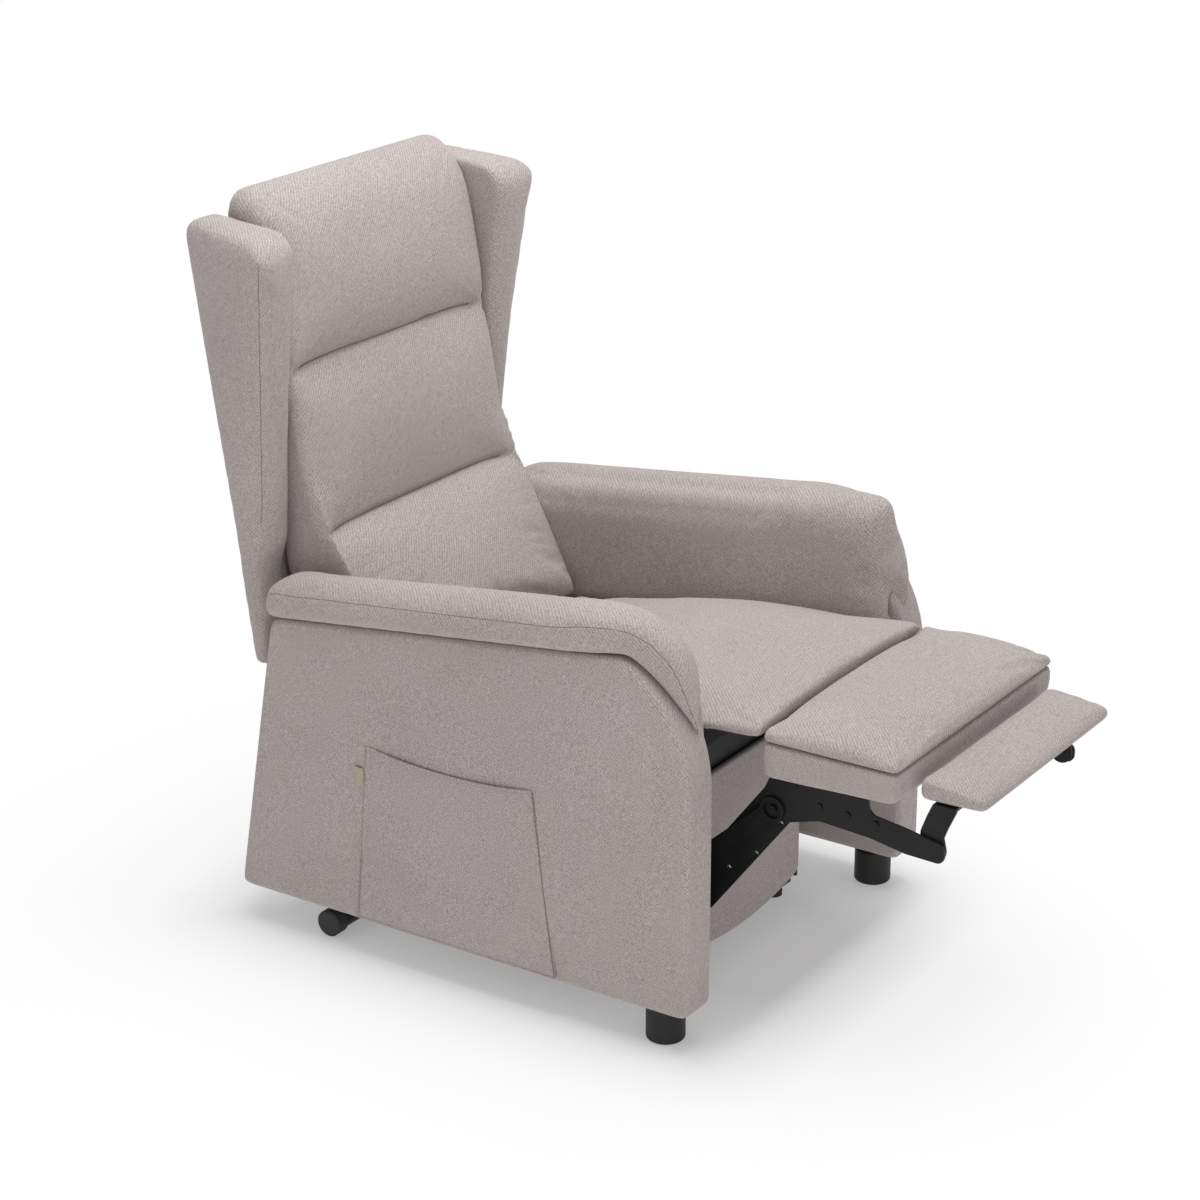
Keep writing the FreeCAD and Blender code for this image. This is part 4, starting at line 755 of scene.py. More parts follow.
def arm_path():
    """Along the arm from its nose to its rear: the crown as (y, z), the direction up in the section's
    plane, the depths of the skirt and of the roll, the overhang and how far the rear end has shrunk.
    The nose's sections stand on the panel curve's centre like the spokes of a fan."""
    centre = panel_curve()[1]
    angle = np.linspace(78, 2, 39)
    nose = np.array(ARM_NOSE)
    radius = eased(np.interp(angle, nose[:, 0], nose[:, 1]), 2)
    over = eased(np.interp(angle, nose[:, 0], nose[:, 2]), 2)
    turn = np.radians(angle)
    up = np.stack([-np.sin(turn), np.cos(turn)], 1)
    crown = np.array(centre) + up * radius[:, None]
    fall = up[:, 1] + ARM_SLOPE * up[:, 0]
    low = (arm_height(centre[0]) - ARM_SKIRT - centre[1]) / fall
    under = np.minimum((arm_underside(centre[0]) - centre[1]) / fall, PANEL_RADIUS) + 1.0
    tail_start = ARM_REAR - ARM_TAIL
    y = np.concatenate([np.linspace(centre[0], tail_start, 44),
                        ARM_REAR - ARM_TAIL * (1 - np.sin(np.linspace(0, math.pi / 2, 10)))[1:]])
    tail = np.clip((y - tail_start) / ARM_TAIL, 0, 1)
    shrink = 1 - np.sqrt(1 - tail ** 2 * 0.999)
    tilt = 0.04 * smooth_step(y, centre[0], ARM_REAR)
    rear_up = np.stack([-tilt, np.ones_like(y)], 1)
    rear_crown = np.stack([y, arm_height(y)], 1)
    one = np.ones_like(y)
    parts = ((crown, rear_crown), (up, rear_up), (radius - low, ARM_SKIRT * one),
             (radius - under, (ARM_ROLL - 1) * one), (over, (ARM_OUTSIDE - PANEL_OUTSIDE) * one),
             (0 * angle, shrink))
    return [np.concatenate(pair) for pair in parts]


def arm():
    """The arm pad: a roll over the panel with a skirt down its inside, in sections across its path. The
    rear end shrinks along a quarter circle, and the nose tapers down the panel's front edge. The skirt's
    front end stands upright: what would reach past it comes back as stop * exp(distance / stop)."""
    crown, up, skirt, roll, over, shrink = arm_path()
    share = np.clip(roll / ARM_ROLL, 0.05, 1)
    inset = shrink * ARM_TAIL_INSET
    crown_drop = shrink * ARM_TAIL_DROP
    tighter = shrink * ARM_TAIL_TIGHTER
    outside = PANEL_OUTSIDE + over - inset
    inside = ARM_INSIDE + inset * 0.35
    step = np.full_like(skirt, PANEL_INSIDE - 0.6)
    corners = np.stack([
        np.stack([inside, inset - skirt], 1),
        np.stack([step, inset - skirt], 1),
        np.stack([step, -roll], 1),
        np.stack([outside - 4 * share, -roll], 1),
        np.stack([outside, -crown_drop - 2 * share], 1),
        np.stack([inside, -5 * share - crown_drop], 1),
    ], 1)
    hem = np.minimum(12, skirt * 0.22)
    turned = smooth_step(-up[:, 0], math.sin(math.radians(6)), math.sin(math.radians(34)))
    inner_top = ARM_INNER_RADIUS - tighter + ARM_INNER_RADIUS * turned
    radii = np.stack([hem, hem, share, 15 * share, (ARM_OUTER_RADIUS - tighter) * share,
                      np.minimum(inner_top, skirt * 0.5)], 1)
    loops = rounded(corners, radii, np.array([0, 0, 0, 2, 3, 2]) * share[:, None])
    drop = loops[..., 1:]
    space = np.concatenate([loops[..., :1], crown[:, None] + up[:, None] * drop], -1)
    behind = space[..., 1] - INNER_NOSE_Y - NOSE_STOP
    held_back = INNER_NOSE_Y + NOSE_STOP * np.exp(np.minimum(behind, 0) / NOSE_STOP)
    stopped = np.where(behind < 0, held_back, space[..., 1])
    inside_share = 1 - smooth_step(space[..., 0], 294, 320)
    space[..., 1] += (stopped - space[..., 1]) * inside_share
    pad = skinned("arm_cover_left", space, FABRIC, "chassis", "arm_pad_left")
    centre = panel_curve()[1]

    def held(co):
        """Sewn down where the roll lies on the panel, and along the skirt's hem."""
        y = co[:, 1] - centre[0]
        z = co[:, 2] - centre[1]
        above_line = co[:, 2] - arm_underside(co[:, 1])
        off_curve = np.hypot(y, z) - PANEL_RADIUS
        over_panel = np.where(y > panel_curve()[0][0] - centre[0], above_line, off_curve)
        under = 1 - smooth_step(over_panel, 3, 12)
        hem_line = co[:, 2] - (arm_height(co[:, 1]) - ARM_SKIRT)
        hem_held = 1 - smooth_step(hem_line, 4, 20)
        return np.maximum(smooth_step(co[:, 0], PANEL_INSIDE - 5, PANEL_INSIDE - 2) * under, hem_held)

    return stuff(pad, limit=5.0, voxel=6.0, pressure=2.0, held=held)


def raise_lip(pad):
    """Puff up the inner half of an arm's nose. About the panel curve's centre, at angle a from upright,
    the crown moves out to (l^-p + v^-p)^(-1/p), where l = level height / cos a, v = distance of the
    upright front end / sin a and p is the power; lower places move by their share of the way up."""
    centre = panel_curve()[1]
    co = points_of(pad)
    forward = centre[0] - co[:, 1]
    up = co[:, 2] - centre[1]
    angle = np.degrees(np.arctan2(forward, np.maximum(up, 1)))
    out = np.hypot(forward, up)
    inside = (up > 0) & (angle > 2) & (angle < 66)
    a = np.radians(np.clip(angle, 2, 66))
    nose = np.array(ARM_NOSE)
    crown = np.interp(angle, nose[:, 0], nose[:, 1])
    rise = LIP_RISE * smooth_step(angle, 6, 28)
    level = (nose[0, 1] + rise + ARM_SLOPE * nose[0, 1] * np.tan(a)) / np.cos(a)
    ahead = (centre[0] - INNER_NOSE_Y) / np.sin(a)
    wanted = (level ** -LIP_POWER + ahead ** -LIP_POWER) ** (-1 / LIP_POWER)
    lift = np.maximum(wanted - crown, 0) * smooth_step(angle, 3, 20) * (1 - smooth_step(angle, 44, 62))
    share = np.clip((out - LIP_FROM) / (crown - LIP_FROM), 0, 1.05)
    share *= 1 - smooth_step(co[:, 0], 296, 334)
    scale = np.where(inside, 1 + lift * share / np.maximum(out, 1), 1.0)
    co[:, 1] = centre[0] - forward * scale
    co[:, 2] = centre[1] + up * scale
    set_points(pad, co)


def arm_seams(pad):
    """The seam along the outside of the roll: it runs below the crown and down the nose."""
    crown, up, skirt, _, over, shrink = arm_path()
    keep = (shrink < 0.5) & (skirt > 60)
    below = np.interp(crown[:, 0], [-260, -200, -60, 480], [5, 12, 20, 15])
    places = crown + up * (-below)[:, None]
    x = PANEL_OUTSIDE + over - np.interp(crown[:, 0], [-260, -200, -60], [3, 3, 0])
    line = np.column_stack([x, places])[keep][::3]
    return seam("arm_seam_left", pad, line, 220, "chassis")


def seat():
    """The seat: for each place across, a rounded side outline whose top rises by crown * (1 - s^2) and
    falls along a quarter circle at the sides; the front runs out into a thin flap."""
    s = spread(61)
    x = s * SEAT_HALF
    fall = edge_round(x, SEAT_HALF, SEAT_EDGE)
    crown = SEAT_CROWN * (1 - s ** 2)
    corners = np.stack([
        corner(x, SEAT_FRONT + fall * 0.15, SEAT_FLAP_UNDER),
        corner(x, *SEAT_FLAP_ROOT),
        corner(x, SEAT_FOOT_FRONT[0], SEAT_FOOT_FRONT[1] + fall * 0.4),
        corner(x, SEAT_FOOT_REAR[0], SEAT_FOOT_REAR[1] + fall * 0.4),
        corner(x, SEAT_REAR[0], SEAT_REAR[1] - fall * 0.6),
        corner(x, SEAT_BEND[0], SEAT_BEND[1] - fall + crown),
        corner(x, SEAT_FRONT + fall * 0.15, SEAT_FLAP_TOP - fall * 0.45 + crown * 0.7),
    ], 1)
    loops = rounded(corners, [6, 6, 10, 12, 16, 900, 8], [0, 0, 0, 0, 3, 0, 1])
    cushion = skinned("seat_cover", across(x, loops), FABRIC, "chassis", "seat_cushion")

    def held(co):
        """Sewn down below the top's edge, under the flap and along the flap's front edge."""
        stations = [SEAT_FRONT, SEAT_BEND[0], SEAT_REAR[0]]
        top = np.interp(co[:, 1], stations, [SEAT_FLAP_TOP - 3, SEAT_BEND[1] - 3, SEAT_REAR[1] - 2])
        lower = 1 - smooth_step(co[:, 2], top - 45, top - 18)
        flap = (1 - smooth_step(co[:, 1], -200, -170)) * (1 - smooth_step(co[:, 2], 484, 492))
        edge = smooth_step(-co[:, 1], 303, 314)
        return np.maximum.reduce([lower * 0.8, flap, edge])

    return stuff(cushion, limit=10.0, voxel=7.0, pressure=3.0, held=held)


BACK_FRONT = np.array([   # the front's profile: height, y
    (417, 324), (436, 324), (454, 331), (500, 358), (549, 387), (600, 424), (646, 458), (700, 478),
    (775, 491), (840, 502), (900, 514), (950, 518), (991, 525), (1040, 534), (1075, 542), (1100, 549),
    (1120, 557), (1136, 567), (1149, 579), (1159, 592), (1166, 607)], float)


def crease_height(height, x):
    """Height of a sewn channel across the back: it dips by 12 (|x| / half)^4 at its ends."""
    return height - 12 * (np.abs(x) / BACK_HALF) ** 4


def back():
    """The back cushion: a side outline through the front's measured points, its front pulled back along
    the two sewn channels and round its edges. Near a channel the pull is depth * exp(-|d| / width). The
    cover wraps back round the frame at both sides and over its top."""
    s = spread(71)
    top_turn = 1 - np.sin(np.linspace(0, math.pi / 2, 12))[1:]
    levels = 150
    z = np.concatenate([np.linspace(BACK_LOW, 1130, levels), BACK_TOP - BACK_CORNER * top_turn])
    front = np.interp(z, BACK_FRONT[:, 0], BACK_FRONT[:, 1])
    front[:levels] = eased(front[:levels], 10)
    rear_z = np.linspace(BACK_TOP, 420, 60)
    rear = back_rear(rear_z) - BACK_SEAT_DEPTH
    widths = ([BACK_LOW, 604, 628, BACK_TOP], [BACK_LOW_HALF, BACK_LOW_HALF, BACK_HALF, BACK_HALF])
    half = np.interp(z, *widths)
    rear_half = np.interp(rear_z, *widths)
    x = s[:, None] * half[None]
    fall = edge_round(x, half[None], BACK_EDGE)
    crown = 6.0 * (1 - s[:, None] ** 2)
    fade = 1 - 0.8 * smooth_step(np.abs(x), 215, 256)
    pull = 0
    for height in (UPPER_SEAM, LOWER_SEAM):
        above = z[None] - crease_height(height, x)
        width = np.where(above > 0, CHANNEL_ABOVE, CHANNEL_BELOW)
        pull = pull + CHANNEL_DEPTH * fade * np.exp(-np.abs(above) / width)
    y = front[None] + fall * 0.8 - crown + pull
    top_fall = edge_round(x, half[None], BACK_CORNER) * smooth_step(z[None], BACK_CORNER_FROM, BACK_TOP)
    zz = np.broadcast_to(z[None], y.shape) - top_fall
    deepest = back_rear(zz) - BACK_SEAT_DEPTH - 3
    y = np.minimum(y, deepest)
    front_side = np.stack([x, y, zz], -1)
    x_rear = s[:, None] * rear_half[None]
    wrap = np.maximum(smooth_step(np.abs(x_rear), 233, 241), smooth_step(rear_z[None], 1080, 1092))
    round_top = 10 * smooth_step(rear_z[None], 1135, BACK_TOP) ** 2
    rear = rear[None] + BACK_WRAP * wrap * smooth_step(rear_z[None], 505, 545) - round_top
    rear_fall = edge_round(x_rear, rear_half[None], BACK_CORNER)
    rear_fall = rear_fall * smooth_step(rear_z[None], BACK_CORNER_FROM, BACK_TOP)
    rear_side = np.stack([x_rear, rear, rear_z[None] - rear_fall], -1)
    cushion = skinned("back_cover", np.concatenate([front_side, rear_side], 1), FABRIC, "back",
                      "head_cushion", "middle_cushion", "lumbar_cushion")

    def held(co):
        """Sewn down behind, along the two channels, and partly at the sides."""
        depth = co[:, 1] - back_rear(co[:, 2]) + BACK_SEAT_DEPTH
        behind = smooth_step(depth, -26, -8)
        sewn = 0
        for height in (UPPER_SEAM, LOWER_SEAM):
            gap = np.abs(co[:, 2] - crease_height(height, co[:, 0]))
            sewn = sewn + (1 - smooth_step(np.abs(co[:, 0]), 215, 250)) * (1 - smooth_step(gap, 3, 9))
        sides = smooth_step(np.abs(co[:, 0]), 247, 252) * 0.6
        return np.maximum.reduce([behind, sewn, sides])

    return stuff(cushion, limit=16.0, voxel=7.4, pressure=3.5, held=held)


WING = np.array([         # height, outer front x, outer front y, inner front y
    (432, 328, 524, 524), (594, 328, 545, 545), (612, 327, 543, 519), (640, 324, 541, 515),
    (672, 321, 533, 517), (760, 329, 523, 517), (867, 338, 512, 511), (980, 351, 498, 502),
    (1080, 362, 486, 494), (1134, 365, 483, 492)], float)


def wing():
    """A wing: level outlines that flare with height. Near the top they shrink along a quarter circle,
    more at the front, so that the front corner is round."""
    top_turn = 1 - np.sin(np.linspace(0, math.pi / 2, 16))[1:]
    z = np.concatenate([np.linspace(WING_BOTTOM, 1090, 60), WING_TOP - 43 * top_turn])
    outer_x = np.interp(z, WING[:, 0], WING[:, 1])
    outer_y = np.interp(z, WING[:, 0], WING[:, 2])
    inner_y = np.interp(z, WING[:, 0], WING[:, 3])
    outer_x, outer_y, inner_y = (eased(line, 4) for line in (outer_x, outer_y, inner_y))
    rear = back_rear(z)

    def quarter(radius):
        """How far a round top edge has drawn in at each height: radius * (1 - sqrt(1 - t^2))."""
        t = np.clip((z - (WING_TOP - radius)) / radius, 0, 0.999)
        return radius * (1 - np.sqrt(1 - t ** 2))

    front_in = quarter(42.0) * 0.85
    side_in = quarter(10.0) * 0.8
    outer_in = quarter(32.0) * 0.9
    rear_in = quarter(22.0)
    inner_x = np.full_like(z, WING_INSIDE)
    corners = np.stack([
        np.stack([inner_x + side_in, rear - 0.6 - rear_in], 1),
        np.stack([inner_x + side_in, inner_y + front_in], 1),
        np.stack([outer_x - outer_in - 1, outer_y + front_in], 1),
        np.stack([330 - outer_in * 0.7, rear - 0.6 - rear_in], 1),
    ], 1)
    depth = np.minimum(rear - rear_in - inner_y - front_in, 300)
    r = np.minimum(15.0, depth * 0.26)
    r = np.minimum(r, (outer_x - inner_x - side_in - outer_in) * 0.26)
    radii = np.stack([np.minimum(r, 5), r, np.minimum(r, 9), np.minimum(r, 12)], 1)
    loops = rounded(corners, radii, [0, 3.5, 2.5, 0], 8, 16)
    ahead = np.clip((rear[:, None] - loops[..., 1]) / (rear - inner_y)[:, None], 0, 1)
    height = z[:, None] - 15 * smooth_step(z[:, None], 1040, WING_TOP) * ahead
    rings = np.concatenate([loops, height[..., None]], -1)
    piece = skinned("wing_cover_left", rings, FABRIC, "back", "wing_left")

    def held(co):
        """Sewn down on the side of the back, behind, and below the arm's height."""
        rear = back_rear(co[:, 2])
        inner = 1 - smooth_step(co[:, 0], 264, 270)
        rear_side = smooth_step(co[:, 1], rear - 14, rear - 4)
        low = 1 - smooth_step(co[:, 2], 600, 650)
        return np.maximum.reduce([inner, rear_side, low])

    return stuff(piece, limit=5.0, voxel=6.0, pressure=2.0, held=held)


def wing_seams(piece):
    """The seam along a wing's outer front edge, from its top to the arm's height."""
    z = np.linspace(665, 1092, 16)
    x = np.interp(z, WING[:, 0], WING[:, 1]) - 2
    outer = np.column_stack([x, np.interp(z, WING[:, 0], WING[:, 2]) + 2, z])
    return seam("wing_seam_left", piece, outer, 200, "back")


def back_creases(cushion):
    """The two sewn channels: a narrow groove pressed in along each, a dark seam at its bottom whose darkness
    is painted shade of the crease, and two soft tucks that fan out from each end. The seam lies where lines
    going straight back from the front meet the groove, evened out along it."""
    x = np.linspace(-240, 240, 160)
    for name, height in (("back_seam_shade_1", UPPER_SEAM), ("back_seam_shade_2", LOWER_SEAM)):
        z = crease_height(height, x)
        line = from_front(cushion, x, z)
        line[:, 1] = eased(line[:, 1], 12)
        groove(cushion, line[::6], 5.0, 4.5, 260)
        for side, end in ((-1, line[0]), (1, line[-1])):
            for lean in (0.42, -0.38):
                away = np.linspace(-0.5, 1, 5)[:, None] * np.array([side * 16, 0, 40 * lean])
                tuck = from_front(cushion, (end + away)[:, 0], (end + away)[:, 2])
                groove(cushion, tuck, 1.5, 4.5, 60)
        line = from_front(cushion, x, z)
        line[:, 1] = eased(line[:, 1], 12) - 0.4
        # a dark cord along the crease's bottom: the seam, whose darkness paints the crease's shade
        cord(name, line[6:-6], 1.1, np.array([0.0, -1.0, 0.0]), SEAM_AND_CREASE_SHADE, "back")


def blacken_underside(cushion):
    """The faces under the flap that face down, and those down the front of the seat's block that face
    forward, are coloured near-black.
    """
    cushion.data.materials.append(NEAR_BLACK_CLOTH)
    count = len(cushion.data.polygons)
    middle = np.empty(count * 3)
    facing = np.empty(count * 3)
    cushion.data.polygons.foreach_get("center", middle)
    cushion.data.polygons.foreach_get("normal", facing)
    middle = middle.reshape(-1, 3) / MM
    facing = facing.reshape(-1, 3)
    under = (middle[:, 2] < 491) & (middle[:, 1] < -150) & (middle[:, 1] > -310)
    under &= np.abs(middle[:, 0]) < 247
    under &= (facing[:, 2] < -0.5) | (facing[:, 1] < -0.5) & (middle[:, 1] > -200)
    cushion.data.polygons.foreach_set("material_index", under.astype(np.int32))


def pad_rings(half, corners_of, radii, bulges):
    """Rings across a small pad: corners_of gives its side corners at each distance x."""
    x = spread(47) * half
    return across(x, rounded(corners_of(x), radii, bulges))


def footrest_base():
    """The footrest's firm upholstered base: one side outline across, its ends rounded."""
    def corners_of(x):
        """The side outline's corners, drawn in at both ends."""
        fall = edge_round(x, FOOT_HALF, FOOT_EDGE) * 0.7
        return np.stack([
            corner(x, FOOT_REAR - fall, FOOT_SEAM - 1),
            corner(x, FOOT_REAR - fall, FOOT_UNDER_REAR + fall * 0.5),
            corner(x, FOOT_FRONT + 2 + fall, FOOT_UNDER_FRONT + fall * 0.5),
            corner(x, FOOT_FRONT + fall, FOOT_SEAM - 1),
        ], 1)

    rings = pad_rings(FOOT_HALF, corners_of, [4, 9, 9, 4], [1, 0, 1, 0])
    base = skinned("footrest_base_cover", rings, FABRIC, "footrest", "footrest_base")
    remeshed(base, 5.0)


def footrest_pad():
    """The footrest's cushion: crowned across and from front to back, drawn in to its side seam."""
    def corners_of(x):
        """The side outline's corners, its top raised by crown * (1 - s^2)."""
        fall = edge_round(x, FOOT_HALF, FOOT_EDGE)
        crown = FOOT_CROWN * (1 - (x / FOOT_HALF) ** 2)
        return np.stack([
            corner(x, FOOT_REAR - fall * 0.4, FOOT_SEAM + 0.5),
            corner(x, FOOT_FRONT - 2 + fall * 0.4, FOOT_SEAM + 0.5),
            corner(x, FOOT_FRONT + fall * 0.5, FOOT_TOP_FRONT - fall * 0.6 + crown * 0.6),
            corner(x, FOOT_REAR - fall * 0.4, FOOT_TOP_REAR - fall * 0.6 + crown * 0.7),
        ], 1)

    rings = pad_rings(FOOT_HALF, corners_of, [5, 5, 7, 7], [0, 1, 7, 1])
    pad = skinned("footrest_pad_cover", rings, FABRIC, "footrest", "footrest_cushion")

    def held(co):
        """Sewn down along the seam at its foot."""
        return 1 - smooth_step(co[:, 2], FOOT_SEAM + 2, FOOT_SEAM + 9)

    return stuff(pad, limit=7.0, voxel=5.0, pressure=3.5, held=held)


def flip_pad():
    """The small firm pad in front of the footrest."""
    def corners_of(x):
        """The side outline's corners, drawn in at both ends."""
        fall = edge_round(x, FLIP_HALF, FOOT_EDGE) * 0.6
        return np.stack([
            corner(x, FLIP_REAR - fall, FLIP_TOP_REAR - fall),
            corner(x, FLIP_REAR - fall, FLIP_UNDER_REAR + fall * 0.5),
            corner(x, FLIP_FRONT + fall, FLIP_UNDER_FRONT + fall * 0.5),
            corner(x, FLIP_FRONT + fall, FLIP_TOP_FRONT - fall * 0.6),
        ], 1)

    rings = pad_rings(FLIP_HALF, corners_of, [9, 8, 8, 9], [0, 0, 1, 2])
    pad = skinned("flip_pad_cover", rings, FABRIC, "flip_pad", "flip_pad")

    def held(co):
        """Sewn down on its underside."""
        return 1 - smooth_step(co[:, 2], 438, 446)

    return stuff(pad, limit=3.0, voxel=5.0, pressure=2.0, held=held)


def padded_board(name, outline, faces, puffs, radius, body, node):
    """A board with a soft cover, its outline in (x, z) and its faces at two depths."""
    shares = np.linspace(0, 0.95, 12)
    rings = board_rings(outline, 1, faces, radius, puffs, 5, (shares, shares))
    board = skinned(name, rings, FABRIC, body, node)
    return board


def front_panel():
    """The fabric panel between the mechanisms; its lower edge sags as a parabola."""
    half = 172
    top = 334
    x = np.linspace(-half, half, 40)
    low = 60 - 22 * (1 - (x / half) ** 2)
    outline = even_outline(np.concatenate([np.stack([x, low], 1), [(half, top), (-half, top)]]), 200)
    padded_board("front_panel_cover", outline, (-151.5, -139.5), (2.0, 2.0), 5.0, "chassis", "front_panel")


def back_panel():
    """The upholstered outside of the back, leaned by the back's angle."""
    half = 261.0
    low_half = 242.0
    side = np.array([(low_half, 302), (low_half, 433), (half, 434), (half, 1078), (half - 12, 1100),
                     (half - 34, 1110)])
    outline = even_outline(np.concatenate([side, side[::-1] * (-1, 1)]), 320)
    depths = (BACK_REAR_Y - 25.5, BACK_REAR_Y - 4.0)
    board = padded_board("back_panel_cover", outline, depths, (0.0, 4.0), 6.0, "back", "back_shell")
    co = points_of(board)
    lean = -math.atan(BACK_LEAN)
    y = co[:, 1] - BACK_REAR_Y
    z = co[:, 2] - BACK_REAR_Z
    co[:, 1] = BACK_REAR_Y + y * math.cos(lean) - z * math.sin(lean)
    co[:, 2] = BACK_REAR_Z + y * math.sin(lean) + z * math.cos(lean)
    set_points(board, co)


def pocket():
    """The side pocket: a sheet with a hem along its sagging top. With u across it and v down it, both
    from 0 to 1, its face stands off the panel by (1 - (2u - 1)^4) * (1 - v^3) times its depth, so it
    comes down to the panel at the sewn sides and foot."""
    count = 60
    u = np.linspace(0, 1, count)[:, None]
    v = np.linspace(0, 1, count)[None]
    top = [rear * (1 - u) + front * u for rear, front in zip(POCKET_REAR_TOP, POCKET_FRONT_TOP)]
    foot = [rear * (1 - u) + front * u for rear, front in zip(POCKET_REAR_FOOT, POCKET_FRONT_FOOT)]
    y = top[0] * (1 - v) + foot[0] * v
    z = (top[1] - POCKET_SAG * u * (1 - u)) * (1 - v) + foot[1] * v
    rise = (1 - (2 * u - 1) ** 4) * (1 - v ** 3)
    x = -(PANEL_OUTSIDE + 3.2 + rise * (4.5 + 0.48 * np.sin(9 * u + 4 * v)))
    grid = np.stack([x, y, z], -1)
    inner = grid + (1.8, 0, 0)
    verts = np.concatenate([grid.reshape(-1, 3), inner.reshape(-1, 3)])
    i = np.arange(count - 1)[:, None] * count
    j = np.arange(count - 1)[None]
    face = np.stack([i + j, i + j + 1, i + count + j + 1, i + count + j], -1).reshape(-1, 4)
    back_face = face[:, ::-1] + count * count
    rim = np.concatenate([np.arange(count), np.arange(1, count) * count + count - 1,
                          (count - 1) * count + np.arange(count - 2, -1, -1),
                          np.arange(count - 2, 0, -1) * count])
    after = np.roll(rim, -1)
    wall = np.stack([rim, after, after + count * count, rim + count * count], -1)
    faces = face.tolist() + back_face.tolist() + wall.tolist()
    sheet = make("pocket_cloth", verts, faces, FABRIC, "chassis", "side_pocket")
    cord("pocket_hem", grid[:, 0] - (0.4, 0, 0), 2.6, np.array([1.0, 0, 0]), FABRIC, "chassis", 0.75)


def pocket_seams():
    """The stitched seams down both sides of the pocket and along its foot."""
    x = -PANEL_OUTSIDE - PANEL_PUFF - 0.7
    for name, finish, radius, points in (
            ("pocket_seam_front", SEAM_AND_CREASE_SHADE, 0.9, [(x, 1, 362), (x, -12, 250), (x, -25, 150), (x, -37, 67)]),
            ("pocket_seam_rear", FABRIC, 0.7, [(x, 311, 361), (x, 319, 260), (x, 328, 160), (x, 337, 68)]),
            ("pocket_seam_foot", FABRIC, 0.7, [(x, -37, 66), (x, 90, 65.5), (x, 220, 65.5), (x, 336, 66)])):
        cord(name, curve_through(points, 120), radius, np.array([1.0, 0, 0]), finish, "chassis")


def label():
    """A small folded cloth label in the pocket's rear seam."""
    low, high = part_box("pocket_label")
    low = np.array(low) / MM
    high = np.array(high) / MM
    u = np.linspace(0, 1, 12)[:, None]
    v = np.linspace(0, 1, 16)[None]
    y = low[1] - 2 + (high[1] - low[1] + 5) * u
    z = low[2] + (high[2] - low[2]) * v
    x = -PANEL_OUTSIDE - 6.4 - 1.2 * np.sin(math.pi * u)
    top = np.stack(np.broadcast_arrays(x, y, z), -1)
    under = top + (1.0, 0, 0)
    skinned("pocket_label_cloth", np.concatenate([top, under[:, ::-1]], 1), LABEL, "chassis", "pocket_label")


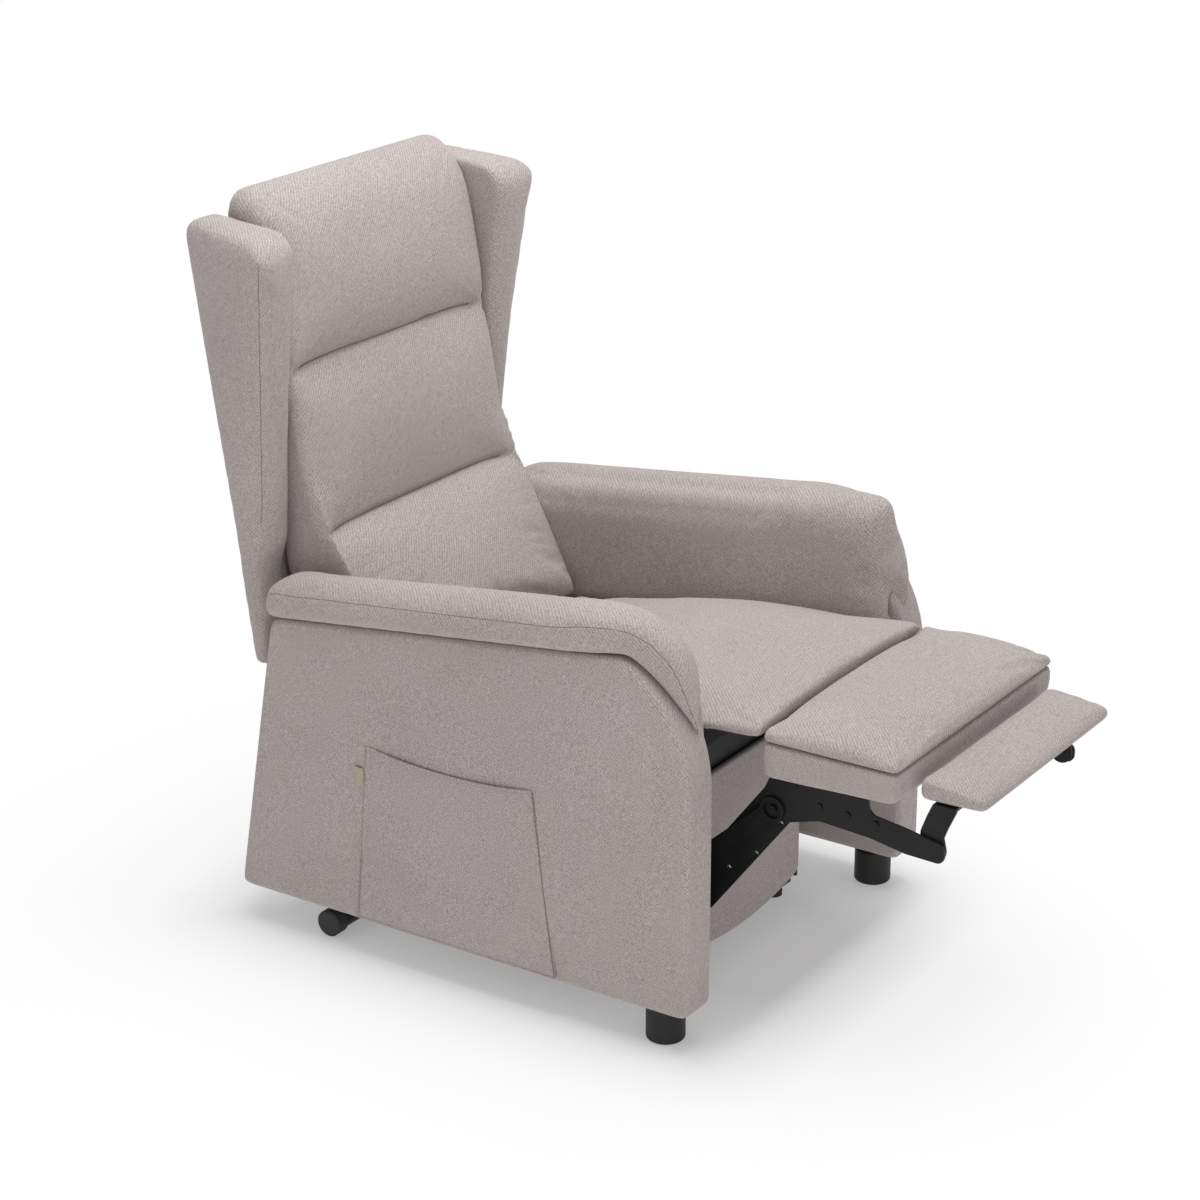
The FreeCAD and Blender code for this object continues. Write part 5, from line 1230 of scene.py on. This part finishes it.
def studio():
    """White floor with a glow that grows with the distance from the base, painted light that lifts the
    shadows on it, so that it fades to a white room; soft lamps from above, in front and behind, and the
    camera."""
    floor = bpy.data.meshes.new("floor")
    floor.from_pydata([(-ROOM, -ROOM, 0), (ROOM, -ROOM, 0), (ROOM, ROOM, 0), (-ROOM, ROOM, 0)], [],
                      [(0, 1, 2, 3)])
    ground = bpy.data.objects.new("floor", floor)
    bpy.context.scene.collection.objects.link(ground)
    finish, tree, shader = tree_of("pale_floor")
    place = add(tree, "TexCoord").outputs["Object"]
    base_middle = (0, 0.15, 0)
    base_half = (0.36, 0.43, 0)
    level = add(tree, "VectorMath", {"operation": "SUBTRACT"}, i0=place, i1=base_middle)
    level = add(tree, "VectorMath", {"operation": "ABSOLUTE"}, i0=level.outputs[0])
    level = add(tree, "VectorMath", {"operation": "SUBTRACT"}, i0=level.outputs[0], i1=base_half)
    level = add(tree, "VectorMath", {"operation": "MAXIMUM"}, i0=level.outputs[0], i1=(0, 0, 0))
    distance = add(tree, "VectorMath", {"operation": "LENGTH"}, i0=level.outputs[0]).outputs["Value"]
    # share of glow by distance from the base: painted light over the floor's shadows, least at the base
    share = [(0.0, 0.28), (0.05, 0.54), (0.16, 0.8), (0.4, 0.92), (0.9, 1.0)]
    fade = ramp(tree, distance, [(at, (value, value, value)) for at, value in share])
    shader.inputs["Base Color"].default_value = (0.93, 0.93, 0.93, 1)
    shader.inputs["Roughness"].default_value = 0.6
    shader.inputs["Specular IOR Level"].default_value = 0.15
    glow = add(tree, "Emission", Color=(1, 1, 1, 1), Strength=1.0)
    both = add(tree, "MixShader", i0=fade, i1=shader.outputs[0], i2=glow.outputs[0])
    tree.links.new(both.outputs[0], tree.nodes["Material Output"].inputs["Surface"])
    floor.materials.append(finish)

    world = bpy.data.worlds.new("room")
    world.use_nodes = True
    bpy.context.scene.world = world
    tree = world.node_tree
    path = add(tree, "LightPath")
    seen = maths(tree, "MAXIMUM", path.outputs["Is Camera Ray"], path.outputs["Is Glossy Ray"])
    seen = maths(tree, "MAXIMUM", seen, path.outputs["Is Transmission Ray"])
    strength = add(tree, "MapRange", Value=seen, To_Min=0.42, To_Max=1.0)
    tree.links.new(strength.outputs[0], tree.nodes["Background"].inputs["Strength"])
    tree.nodes["Background"].inputs["Color"].default_value = (1, 1, 1, 1)

    for name, place, aim, size, power in LAMPS:
        lamp = bpy.data.lights.new(name, "AREA")
        lamp.shape = "SQUARE"
        lamp.size = size
        lamp.energy = power
        holder = bpy.data.objects.new(name, lamp)
        bpy.context.scene.collection.objects.link(holder)
        holder.location = place
        holder.rotation_euler = (Vector(place) - Vector(aim)).to_track_quat("Z", "Y").to_euler()

    camera = bpy.data.cameras.new("camera")
    camera.lens = LENS
    camera.sensor_width = 36.0
    camera.clip_end = 100.0
    eye = bpy.data.objects.new("camera", camera)
    bpy.context.scene.collection.objects.link(eye)
    turn = Matrix((EYE_RIGHT, EYE_UP, EYE_BACK)).transposed().to_4x4()
    eye.matrix_world = Matrix.Translation(EYE) @ turn
    bpy.context.scene.camera = eye
    bpy.context.scene.view_settings.view_transform = "Standard"


finish_frame()
side_panel()
left_arm = arm()
seat_cover = seat()
back_cover = back()
left_wing = wing()
footrest_base()
foot_cover = footrest_pad()
flip_cover = flip_pad()
front_panel()
back_panel()
pocket()
pocket_seams()
label()
blow_up()
right_arm = mirrored(left_arm, "arm_cover_right", "arm_pad_right")
raise_lip(left_arm)
right_wing = mirrored(left_wing, "wing_cover_right", "wing_right")
for cushion in (left_arm, right_arm, seat_cover, back_cover, left_wing, right_wing, foot_cover,
                flip_cover):
    refine(cushion)
back_creases(back_cover)
blacken_underside(seat_cover)
mirrored(wing_seams(left_wing), "wing_seam_right")
mirrored(arm_seams(left_arm), "arm_seam_right")

studio()
